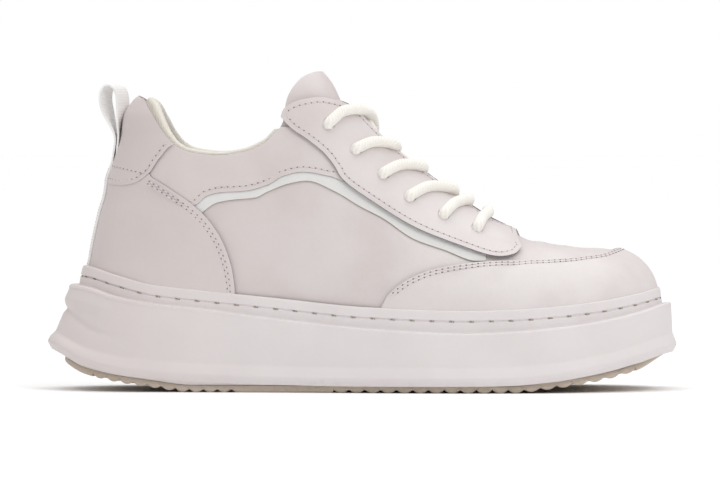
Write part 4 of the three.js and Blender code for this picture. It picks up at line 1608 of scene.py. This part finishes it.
    def even(self, rows: Array, count: int = 400) -> Array:
        """Return places spaced evenly along the real length of a line.

        Args:
            rows: the line's places.
            count: how many to return.

        Returns:
            The places, evenly spaced.
        """
        points = LAST.point(rows[:, 0], rows[:, 1])
        run = np.concatenate([[0], np.cumsum(np.linalg.norm(np.diff(points, axis=0), axis=1))])
        at = np.linspace(0, run[-1], count)
        return np.stack([np.interp(at, run, rows[:, k]) for k in range(2)], axis=1)

    def eyestay(self, side: Side, cutter: bpy.types.Object) -> None:
        """Add one thick facing with its eyelets, painted edge and stitches.

        Args:
            side: which side of the shoe.
            cutter: the pins that punch the eyelets.
        """
        outer, inner = self.eyestay_lines(side)
        shares = np.linspace(0, 1, len(outer))

        def locate(u: Array, v: Array) -> tuple[Array, Array]:
            """Return the panel's places on the last.

            Args:
                u: the sheet's first direction, 0 to 1.
                v: the sheet's second direction, 0 to 1.

            Returns:
                The angles and the shares out.
            """
            at = np.clip(u, 0, 1)
            low = [np.interp(at, shares, outer[:, k]) for k in range(2)]
            high = [np.interp(at, shares, inner[:, k]) for k in range(2)]
            return mix(low[0], high[0], v), mix(low[1], high[1], v)
        name = f"eyestay_{side.name.lower()}"
        panel = Panel(name, locate, self.eyestay_lift, self.eyestay_depth, 200, 30, 0.8)
        panel.build("leather", PAINTED, name, punches=cutter)
        u = np.linspace(0.005, 0.985, 500)
        Seam(name, (2.4,)).build([panel.edge(u, 0 * u, (0, 0.05)), panel.edge(u, 0 * u + 1, (0, -0.05))])

    def heel_counter(self) -> None:
        """Add the panel round the back of the heel."""
        front = Track(tuple([30.0] + list(COUNTER_EDGE.places)), tuple([85.6] + list(COUNTER_EDGE.values)))
        base = LAST.end_angles(COUNTER_FRONT_X, self.counter_foot)

        def locate(u: Array, v: Array) -> tuple[Array, Array]:
            """Return the panel's places on the last.

            Args:
                u: the sheet's first direction, 0 to 1.
                v: the sheet's second direction, 0 to 1.

            Returns:
                The angles and the shares out.
            """
            across = 1 - 2 * u
            side = np.where(across > 0, -1.0, 1.0)
            foot_angle = np.where(across > 0, base[Side.LATERAL], -base[Side.MEDIAL]) * across
            z = mix(WALL(LAST.point(foot_angle, 1.0)[..., 0]) - WALL_LAP, 96.0, v)
            edge, _ = LAST.from_side(front(z), z, side)
            angle = np.abs(edge) * across
            return angle, at_height(angle, z)
        panel = Panel("heel_counter_panel", locate, self.panel_lift, self.panel_depth, 150, 48)
        panel.build("leather", PAINTED, "heel_counter")
        v = np.linspace(0.02, 0.97, 200)
        edges = [panel.edge(0 * v, v, (0.03, 0)), panel.edge(0 * v + 1, v, (-0.03, 0))]
        Seam(panel.name, (2.2, 3.5)).build(edges)

    def heel_tab(self) -> None:
        """Add the padded tab above the counter."""
        ends = LAST.end_angles(*self.tab_front)

        def locate(u: Array, v: Array) -> tuple[Array, Array]:
            """Return the panel's places on the last.

            Args:
                u: the sheet's first direction, 0 to 1.
                v: the sheet's second direction, 0 to 1.

            Returns:
                The angles and the shares out.
            """
            across = 1 - 2 * u
            angle = np.where(across > 0, ends[Side.LATERAL], -ends[Side.MEDIAL]) * across
            low = LAST.exits(angle, lambda point: point[..., 2] < TAB_EDGE(point[..., 0]))
            high = LAST.exits(angle, lambda point: ~in_opening(point))
            return angle, mix(low, np.minimum(high, low), v)
        panel = Panel("heel_tab_panel", locate, self.panel_lift + 0.25, self.panel_depth + 0.2, 130, 36, 0.65)
        panel.build("leather", PAINTED, "heel_tab")
        u = np.linspace(0.01, 0.99, 300)
        line, normals, inward = panel.edge(u, 0 * u, (0, 0.05))
        Seam(panel.name, (2.2,)).build([(line + normals * 0.22, normals, inward)])
        for side in Side:
            x = np.linspace(28.7, 44.2, 60)
            where = LAST.from_side(x, 99.5 - (x - 28.7) * 0.213, side.value)
            line, normals = on_leather(*where, self.panel_lift + 0.25), LAST.normal(*where)
            Seam(f"tab_cross_{side.name.lower()}", (0.0,)).build([(line, normals, normals * 0)])

    def heel_strip(self) -> None:
        """Add the webbing strip down the middle of the heel."""

        def locate(u: Array, v: Array) -> tuple[Array, Array]:
            """Return the panel's places on the last.

            Args:
                u: the sheet's first direction, 0 to 1.
                v: the sheet's second direction, 0 to 1.

            Returns:
                The angles and the shares out.
            """
            z = mix(52.0, 100.4, v)
            low, high = np.zeros_like(z), np.full_like(z, 0.6)
            reach = self.heel_strip_half * np.abs(2 * u - 1)
            for _ in range(26):
                middle = (low + high) / 2
                wide = np.abs(LAST.point(middle, at_height(middle, z))[..., 1]) > reach
                low, high = np.where(wide, low, middle), np.where(wide, middle, high)
            angle = low * np.sign(1 - 2 * u)
            return angle, at_height(angle, z)
        panel = Panel("heel_strip", locate, self.panel_lift + 0.95, 1.15, 8, 34, 0.3)
        panel.build("webbing", (Finish.WEBBING, Finish.WEBBING, Finish.WEBBING))
        v = np.linspace(0.02, 0.97, 80)
        Seam(panel.name, (1.6,)).build([panel.edge(0 * v, v, (0.1, 0)), panel.edge(0 * v + 1, v, (-0.1, 0))])

    def mudguard(self) -> None:
        """Add the panel round the toe."""
        ends = LAST.end_angles(MUDGUARD_BACK_X, self.mudguard_foot)

        def below_edge(point: Array) -> Array:
            """Tell which points lie below the panel's top edge."""
            return (point[..., 2] < MUDGUARD_EDGE(point[..., 0])) | (point[..., 2] < self.mudguard_foot + 2)

        def locate(u: Array, v: Array) -> tuple[Array, Array]:
            """Return the panel's places on the last.

            Args:
                u: the sheet's first direction, 0 to 1.
                v: the sheet's second direction, 0 to 1.

            Returns:
                The angles and the shares out.
            """
            across = 1 - 2 * u
            edge = np.where(across > 0, ends[Side.LATERAL], -ends[Side.MEDIAL])
            reach = math.pi - edge
            angle = np.where(across >= 0, math.pi - reach * across, -math.pi + reach * -across)
            high = LAST.exits(angle, below_edge)
            foot = LAST.point(angle, 1.0)[..., 0]
            low = at_height(angle, WALL(foot) - WALL_LAP)
            return angle, mix(low, np.minimum(high, low), v)
        panel = Panel("toe_mudguard_panel", locate, self.panel_lift, self.panel_depth, 260, 26)
        panel.build("leather", (Finish.LEATHER, Finish.LEATHER, Finish.LEATHER), "toe_mudguard")
        u = np.linspace(0.012, 0.988, 600)
        Seam(panel.name, (0.9, 2.3), hole=(0.46, 0.3, 0.13)).build([panel.edge(u, 0 * u + 1, (0, -0.05))])

    def perforations(self) -> None:
        """Prick the fine air holes in the top of the vamp."""
        spots, axes = [], []
        for row, x in enumerate(np.arange(217.0, 232.0, 4.5)):
            for k in range(-3, 4):
                y = (k + 0.5 * (row % 2)) * 4.2
                where = LAST.from_above(np.array([x]), np.array([y + 1e-3]))
                up = LAST.normal(*where)[0]
                spots.append(on_leather(*where, 0.02)[0])
                along = unit(np.cross(np.array([0, 1.0, 0]), up))
                axes.append(np.stack([along, unit(np.cross(up, along)), up]))
        sew("vamp_air_holes", np.array(spots), np.array(axes), (0.3, 0.3, 0.05), Finish.THREAD)


# ------------------------------------------------------------------ tongue, linings, insole and loop

@dataclass
class Tongue:
    """The padded tongue, pressed down where the lace passes over and under it."""

    outer: float = -2.55
    thickness: float = 5.5
    half: Track = field(default_factory=lambda: Track((100, 150, 212), (29, 24, 16)))
    edge: Track = field(default_factory=lambda: Track(
        (100, 106.2, 107.4, 110.4, 116, 122.4), (60, 122, 129, 134.6, 139.6, 141.4)))
    foot_x: float = 208.0
    sink: float = 5.3

    def place(self, u: Array, v: Array) -> Array:
        """Return the tongue's outer face.

        Args:
            u: the sheet's first direction, 0 to 1.
            v: the sheet's second direction, 0 to 1.

        Returns:
            One point per place.
        """
        across = 2 * u - 1
        keys, back = np.unique(np.round(across, KEY_DIGITS), return_inverse=True)
        low, high = np.full_like(keys, 101.0), np.full_like(keys, 126.0)
        for _ in range(24):
            x = (low + high) / 2
            above = self.surface(x, keys)[..., 2] > self.edge(x)
            low, high = np.where(above, x, low), np.where(above, high, x)
        return self.surface(mix(low[back], self.foot_x, v), across)

    def surface(self, x: Array, across: Array) -> Array:
        """Return the outer face at a share of its width, with a soft crown between its seams.

        Args:
            x: positions along the shoe, in millimetres.
            across: shares of the width, from the middle.

        Returns:
            One point per place.
        """
        angle, out = LAST.from_above(x, across * self.half(x) + 1e-4)
        crown = -0.5 * np.exp(-((np.abs(across) - 0.72) / 0.06) ** 2)
        sunk = -self.sink * np.clip(1 - (across * self.half(x) / 15) ** 2, 0, 1) * smooth_step((x - 128) / 16)
        return LAST.skin(angle, out, self.outer + sunk + crown * smooth_step((x - 112) / 8))

    def build(self, lace: "Lace") -> None:
        """Model the tongue.

        Args:
            lace: the lace that lies on it.
        """
        piece = sheet("tongue_pad", 70, 130, self.place)
        face_out(piece)
        self.press(piece, lace)
        thicken(piece, self.thickness, rim=1, inner=2)
        soften(piece, 1.3, 4, 60)
        finish_piece(piece, "leather",
                     [Finish.LEATHER.material, Finish.LINING.material, Finish.LINING.material], "tongue")

    def press(self, piece: bpy.types.Object, lace: "Lace") -> None:
        """Let the padding give way where the lace lies on it.

        Args:
            piece: the object.
            lace: the lace that lies on it.
        """
        points = vertex_array(piece)
        line, normals = to_frame(lace.route), lace.up
        for start in range(0, len(line), 400):
            part, up = line[start:start + 400], normals[start:start + 400]
            apart = points[:, None, :] - part[None, :, :]
            near = np.einsum("vpk,vpk->vp", apart, apart).argmin(axis=1)
            gap = points - part[near]
            height = np.einsum("vk,vk->v", gap, up[near])
            flat = np.linalg.norm(gap - up[near] * height[:, None], axis=1)
            reach = lace.radius * 1.9 * MM
            need = -(lace.radius * 1.05 * MM) * np.sqrt(np.clip(1 - (flat / reach) ** 2, 0, 1))
            touched = (flat < reach) & (np.abs(height) < 6 * MM)
            drop = np.where(touched, np.minimum(need - height, 0), 0)
            points += up[near] * np.maximum(drop, -3.2 * MM)[:, None]
        set_vertices(piece, points)


@dataclass
class Collar:
    """The cushioned cloth lining that rolls over the topline."""

    front_x: float = 103.0
    front_z: float = 111.0
    profile: tuple[tuple[float, float], ...] = (
        (7.0, -2.3), (1.2, -2.2), (-0.3, -2.0), (-1.5, -2.0), (-2.5, -2.9),
        (-2.7, -4.3), (-1.9, -5.7), (0.2, -6.9),
        (4.5, -7.6), (10.0, -7.7), (16.0, -7.0), (21.0, -5.8), (24.0, -4.0), (23.0, -2.7), (15.0, -2.3))

    def place(self, u: Array, v: Array) -> Array:
        """Return the roll's skin; v runs once round it.

        Args:
            u: the sheet's first direction, 0 to 1.
            v: the sheet's second direction, 0 to 1.

        Returns:
            One point per place.
        """
        ends = LAST.end_angles(self.front_x, self.front_z)
        across = 1 - 2 * u
        angle = np.where(across > 0, ends[Side.LATERAL], -ends[Side.MEDIAL]) * across
        keys, back = np.unique(np.round(angle, KEY_DIGITS), return_inverse=True)
        top = LAST.first_exit(keys, lambda point: ~in_opening(point))
        edge = LAST.point(keys, top)
        climb = unit(LAST.point(keys, np.maximum(top - 0.02, 0)) - edge)
        along = unit(np.gradient(edge, axis=0))
        square = np.linalg.norm(climb - along * np.sum(climb * along, axis=1, keepdims=True), axis=1)
        height, x, square = edge[:, 2][back], edge[:, 0][back], (climb[:, 2] / np.maximum(square, 0.5))[back]
        loop = spline(np.array(self.profile + self.profile[:1]), 80)
        at = np.linspace(0, 1, 80)
        drop, lift = np.interp(v, at, loop[:, 0]), np.interp(v, at, loop[:, 1])
        rear = 1 - smooth_step((x - 36) / 26)
        pad = 1 + 0.35 * rear
        thick = np.where(lift < -3, -3 + (lift + 3) * pad, lift)
        ends_in = np.minimum(1, (1 - np.abs(across)) * 30 + 0.3)
        thick = -2.4 + (thick + 2.4) * ends_in
        z = height - np.where(drop < 0, drop * square * (1 + 0.15 * rear) * ends_in, drop)
        return LAST.skin(angle, at_height(angle, z), thick)

    def build(self) -> None:
        """Model the lining."""
        piece = sheet("collar_roll", 200, 64, self.place)
        in_edit(piece, lambda: bpy.ops.mesh.select_non_manifold(extend=False), lambda: bpy.ops.mesh.fill(),
                lambda: bpy.ops.mesh.select_all(action="SELECT"))
        close_up(piece)
        smooth(piece, 70)
        finish_piece(piece, "lining", [Finish.LINING.material], "collar_lining")


@dataclass
class Insole:
    """The soft footbed."""

    edge: float = -2.95
    thickness: float = 4.0

    def place(self, u: Array, v: Array) -> Array:
        """Return the footbed's top.

        Args:
            u: the sheet's first direction, 0 to 1.
            v: the sheet's second direction, 0 to 1.

        Returns:
            One point per place.
        """
        angle = u * math.pi
        left, right = LAST.outline(angle, CUP, self.edge), LAST.outline(-angle, CUP, self.edge)
        point = mix(left, right, v[:, None])
        dish = 0.7 * (2 * v - 1) ** 2
        point[:, 2] = CUP(point[:, 0]) + self.thickness - 0.4 + dish * np.sin(np.pi * np.clip(u, 0, 1)) ** 0.5
        return point

    def build(self) -> None:
        """Model the footbed."""
        piece = sheet("footbed", 90, 24, self.place)
        if sum(face.normal.z * face.area for face in piece.data.polygons) < 0:
            in_edit(piece, lambda: bpy.ops.mesh.flip_normals())
        thicken(piece, self.thickness - 0.6)
        soften(piece, 0.7, 3, 50)
        finish_piece(piece, "lining", [Finish.INSOLE.material], "insole")


@dataclass
class PullLoop:
    """The folded webbing loop at the heel."""

    half_width: float = 5.5
    thickness: float = 0.8
    rib_pitch: float = 1.25
    twist: float = 25.0
    twist_start: float = 111.0
    twist_run: float = 15.0
    line: tuple[tuple[float, float], ...] = (
        (28.6, 100.2), (29.3, 105), (30.0, 110), (29.5, 114.3), (28.0, 118.6),
        (26.5, 122.8), (25.4, 127), (25.2, 131.4),
        (26.6, 134.9), (29.2, 136), (32.2, 134.4), (33.6, 130.9), (33.9, 126.4),
        (33.5, 121.5), (32.6, 117), (32.1, 112),
        (31.6, 107), (31.1, 100.2))

    def place(self, u: Array, v: Array) -> Array:
        """Return the webbing's outer face with its cross ribs.

        Args:
            u: the sheet's first direction, 0 to 1.
            v: the sheet's second direction, 0 to 1.

        Returns:
            One point per place.
        """
        fine = spline(np.array(self.line), 700)
        turn = unit(np.gradient(fine, axis=0))
        at = np.linspace(0, 1, 700)
        x, z = np.interp(u, at, fine[:, 0]), np.interp(u, at, fine[:, 1])
        nx, nz = -np.interp(u, at, turn[:, 1]), np.interp(u, at, turn[:, 0])
        length = np.linalg.norm(np.diff(fine, axis=0), axis=1).sum()
        rib = 0.16 * np.abs(np.sin(np.pi * u * length / self.rib_pitch))
        sag = -0.5 * (2 * v - 1) ** 2 * np.exp(-((u - 0.5) / 0.2) ** 2)
        turned = math.radians(self.twist) * smooth_step((z - self.twist_start) / self.twist_run)
        lean, side = nx * (rib + sag), (2 * v - 1) * self.half_width
        return np.stack([x + lean * np.cos(turned) + side * np.sin(turned),
                         side * np.cos(turned) - lean * np.sin(turned), z + nz * (rib + sag)], axis=1)

    def build(self) -> None:
        """Model the loop."""
        piece = sheet("heel_loop", 330, 10, self.place)
        thicken(piece, self.thickness, clamp=0.0)
        soften(piece, 0.25, 2, 60)
        finish_piece(piece, "webbing", [Finish.WEBBING.material], "pull_loop")


# ------------------------------------------------------------------ lace

@dataclass
class Lace:
    """One round rope lace, threaded from the top eyelets down to the bar at the bottom."""

    radius: float = 2.45
    over: float = 4.0
    slack: float = 0.0
    starts: int = 6
    twist: float = 9.0
    sides: int = 36
    step: float = 0.36
    route: Array = field(init=False)
    up: Array = field(init=False)
    squeeze: Array = field(init=False)

    def __post_init__(self) -> None:
        """Thread the whole lace once."""
        first = self.thread(1)
        second = self.thread(-1)
        bar = self.bar()
        rows = first + bar + second[::-1]
        points = np.array([row[0] for row in rows])
        run_points = spline(np.hstack([points, np.array([[row[1]] for row in rows])]), 40 * len(rows))
        count = int(np.linalg.norm(np.diff(run_points[:, :3], axis=0), axis=1).sum() / self.step)
        even = resample(run_points, count)
        self.route, self.squeeze = even[:, :3], np.clip(even[:, 3], 0.45, 1.0)
        x = self.route[:, 0]
        y = self.route[:, 1] - centre_y(x)
        where = LAST.from_above(x, np.where(np.abs(y) < 1e-3, 1e-3, y))
        self.up = LAST.normal(*where)

    def hole(self, row: int, side: int, lift: float, ahead: float = 0.0) -> Array:
        """Return a point over or under an eyelet, moved ahead towards the throat.

        Args:
            row: the eyelet's row.
            side: 1 or -1, for the side.
            lift: the height over the leather, in millimetres.
            ahead: how far towards the throat.

        Returns:
            The point.
        """
        x, z = EYELETS[row]
        angle, out = LAST.from_side(np.array([x]), np.array([z]), side)
        return LAST.skin(angle, out - ahead * 0.012, lift)[0]

    def above(self, x: float, y: float, rise: float) -> Array:
        """Return a point above the last, y measured from the centre line."""
        angle, out = LAST.from_above(np.array([x]), np.array([y if abs(y) > 1e-3 else 1e-3]))
        return LAST.skin(angle, out, rise)[0]

    def lying(self, row: int, side: int, edge_x: float) -> list[tuple[Array, float]]:
        """Return the stretch from an eyelet over the facing to the throat's edge.

        Args:
            row: the eyelet's row.
            side: 1 or -1, for the side.
            edge_x: where the throat's edge is.

        Returns:
            Points, each with the rope's roundness there.
        """
        x, _ = EYELETS[row]
        reach = abs(self.hole(row, side, 0.0)[1] - centre_y(x))
        rows = [(self.hole(row, side, -2.6), 0.7), (self.hole(row, side, 1.2, -0.4), 0.95),
                (self.hole(row, side, 3.7, -0.2), 1.0)]
        for t in (0.36, 0.68, 1.0):
            sideways = side * mix(reach, THROAT_HALF + 1, t)
            rise = self.over - 0.2 + self.slack * t
            rows.append((self.above(mix(x, edge_x, t), sideways, rise), 1.0))
        return rows

    def thread(self, side: int) -> list[tuple[Array, float]]:
        """Follow the lace from one top eyelet down to its bottom eyelet.

        Args:
            side: 1 or -1, for the side.

        Returns:
            Points, each with the rope's roundness there.
        """
        hidden = LAST.from_side(np.array([121.5]), np.array([112.0]), side)
        rows: list[tuple[Array, float]] = [(LAST.skin(*hidden, -4.4)[0], 0.5)]
        last_row = len(EYELETS) - 1
        for row in range(last_row):
            lowest = row == last_row - 1
            low_x = EYELETS[row + 1][0]
            dive = low_x + (-1.5 if lowest else 8.0 if row == 0 else 10.0)
            low_rise, high_rise = (-1.5, 2.0) if row == 0 else (-5.2, -2.0)
            rows += self.lying(row, side, mix(EYELETS[row][0], dive, 0.55 if row == 0 else 0.68))
            rise = low_rise if side > 0 else high_rise
            rows.append((self.above(mix(EYELETS[row][0], dive, 0.84), 0.0, rise), 1.0))
            rows.append((self.above(dive, -side * 6.5, -1.6), 0.95))
            side = -side
            reach = abs(self.hole(row + 1, side, 0.0)[1] - centre_y(low_x))
            rows.append((self.above(mix(dive, low_x, 0.5), side * (THROAT_HALF + 0.5), -3.6), 0.55))
            rows.append((self.above(low_x, side * mix(THROAT_HALF, reach, 0.7), -4.0), 0.5))
        return rows

    def bar(self) -> list[tuple[Array, float]]:
        """Return the straight bar over the bottom pair of eyelets.

        Returns:
            Points, each with the rope's roundness there.
        """
        row, side = len(EYELETS) - 1, -1
        edge = EYELETS[row][0] + 3
        there, back = self.lying(row, side, edge), self.lying(row, -side, edge)[::-1]
        return there + [(self.above(edge, 0.0, self.over - 0.6), 1.0)] + back

    def build(self) -> bpy.types.Object:
        """Twist the rope along its route.

        Returns:
            The rope.
        """
        count = len(self.route)
        ahead = unit(np.gradient(self.route, axis=0))
        sides = [unit(np.cross(ahead[0], np.array([0, 0, 1.0])))]
        for k in range(1, count):
            last = sides[-1] - ahead[k] * np.dot(sides[-1], ahead[k])
            sides.append(last / np.linalg.norm(last))
        across = np.array(sides)
        other = np.cross(ahead, across)

        def place(u: Array, v: Array) -> Array:
            """Return the rope's skin with its strands.

            Args:
                u: the sheet's first direction, 0 to 1.
                v: the sheet's second direction, 0 to 1.

            Returns:
                One point per place.
            """
            at = np.rint(u * (count - 1)).astype(int)
            turn = v * 2 * math.pi
            phase = turn * self.starts + at * self.step * 2 * math.pi * self.starts / self.twist
            strand = np.abs(np.sin(phase / 2))
            left = np.minimum(at, count - 1 - at)
            end = np.sqrt(np.clip(1 - (1 - left / 6) ** 2 * (left < 6), 0, 1))
            reach = self.radius * (0.88 + 0.14 * strand ** 0.6) * end
            offset = (across[at] * np.cos(turn)[:, None] + other[at] * np.sin(turn)[:, None]) * reach[:, None]
            flat = np.sum(offset * self.up[at], axis=1, keepdims=True) * self.up[at]
            return self.route[at] + offset - flat * (1 - self.squeeze[at])[:, None]
        piece = sheet("lace_rope", count - 1, self.sides, place)
        close_up(piece)
        smooth(piece, 180)
        points = vertex_array(piece)
        # painted shade: how deep each point lies between the strands darkens the lace's hollows
        shade = piece.data.attributes.new("shade", "FLOAT", "POINT")
        shade.data.foreach_set("value", self.hollows(points))
        crossings = [f"lace_cross_{k + 1}" for k in range(5)]
        return finish_piece(piece, "lace", [Finish.LACE.material], "lace_bar", *crossings)

    def hollows(self, points: Array) -> Array:
        """Return how deep each point lies between the rope's strands, for the painted shade in its hollows.

        Args:
            points: the points, one row each.

        Returns:
            One depth per point.
        """
        line = to_frame(self.route)
        result = np.zeros(len(points))
        for start in range(0, len(points), 4000):
            part = points[start:start + 4000]
            near = np.full(len(part), np.inf)
            for k in range(0, len(line), 300):
                gap = np.linalg.norm(part[:, None, :] - line[None, k:k + 300, :], axis=2).min(axis=1)
                near = np.minimum(near, gap)
            result[start:start + 4000] = np.clip(1 - (near / (self.radius * MM) - 0.88) / 0.1, 0, 1)
        return result


# ------------------------------------------------------------------ studio

@dataclass
class Studio:
    """Plain floor, soft light and the camera."""

    azimuth: float = 2.2
    elevation: float = 1.1
    distance: float = 3.0
    focal: float = 337.0
    aim: tuple[float, float, float] = (0.0592, 0.0, 0.0663)
    sky: float = 0.44

    def build(self) -> None:
        """Set up the floor, the lights and the camera."""
        self.floor()
        world = bpy.data.worlds.new("studio")
        world.use_nodes = True
        tree = world.node_tree
        seen = tree.nodes.new("ShaderNodeLightPath")
        strength = tree.nodes.new("ShaderNodeMapRange")
        strength.inputs["To Min"].default_value, strength.inputs["To Max"].default_value = self.sky, 1.0
        tree.links.new(seen.outputs["Is Camera Ray"], strength.inputs["Value"])
        tree.links.new(strength.outputs[0], tree.nodes["Background"].inputs["Strength"])
        tree.nodes["Background"].inputs["Color"].default_value = (1.0, 1.0, 1.0, 1.0)
        bpy.context.scene.world = world
        self.area("key", (0.75, -0.85, 1.05), 0.7, 4.0)
        self.overhead()
        self.camera()
        bpy.context.scene.view_settings.view_transform = "Standard"

    def floor(self) -> None:
        """Lay a wide pale floor."""
        bpy.ops.object.select_all(action="DESELECT")
        bpy.ops.mesh.primitive_plane_add(size=30, location=(0, 0, 0))
        floor = bpy.context.object
        floor.name = "floor"
        g = Graph("floor")
        colour = g.blend(g.noise(300) * 0.1, (1, 1, 1, 1), (0.98, 0.98, 0.98, 1))
        floor.data.materials.append(g.surface(colour, 0.6,
                                              g.bump(g.noise(4), 0.01), Specular_IOR_Level=0.2))

    def overhead(self) -> None:
        """Add one very wide lamp straight above, which lights floor and shoe alike."""
        data = bpy.data.lights.new("overhead", "SUN")
        data.energy, data.angle = 1.97, math.radians(80)
        light = bpy.data.objects.new("overhead", data)
        light.location = (0.0, 0.0, 2.0)
        bpy.context.scene.collection.objects.link(light)

    def area(self, name: str, place: tuple[float, float, float], size: float, power: float) -> None:
        """Add a soft square light aimed at the shoe.

        Args:
            name: the name.
            place: where it stands.
            size: its width.
            power: its power in watts.
        """
        data = bpy.data.lights.new(name, "AREA")
        data.energy, data.size = power, size
        light = bpy.data.objects.new(name, data)
        bpy.context.scene.collection.objects.link(light)
        self.point_at(light, place)

    def point_at(self, piece: bpy.types.Object, place: tuple[float, float, float]) -> None:
        """Stand something at a place and turn it to the shoe."""
        piece.location = place
        piece.rotation_euler = (Vector(self.aim) - Vector(place)).to_track_quat("-Z", "Y").to_euler()

    def camera(self) -> None:
        """Add the camera at its angle round the shoe."""
        turn, rise = math.radians(self.azimuth), math.radians(self.elevation)
        back = (math.sin(turn) * math.cos(rise), -math.cos(turn) * math.cos(rise), math.sin(rise))
        data = bpy.data.cameras.new("camera")
        data.lens, data.clip_start = self.focal, 0.01
        camera = bpy.data.objects.new("camera", data)
        bpy.context.scene.collection.objects.link(camera)
        self.point_at(camera, tuple(a + b * self.distance for a, b in zip(self.aim, back)))
        bpy.context.scene.camera = camera


def main() -> None:
    """Build the shoe piece by piece."""
    logging.basicConfig(level=logging.INFO, format="%(name)s: %(message)s")
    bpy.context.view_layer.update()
    Studio().build()
    lace = Lace()
    Sole().build()
    Upper().build()
    Tongue().build(lace)
    Collar().build()
    Insole().build()
    PullLoop().build()
    lace.build()


if __name__ == "__main__":
    main()
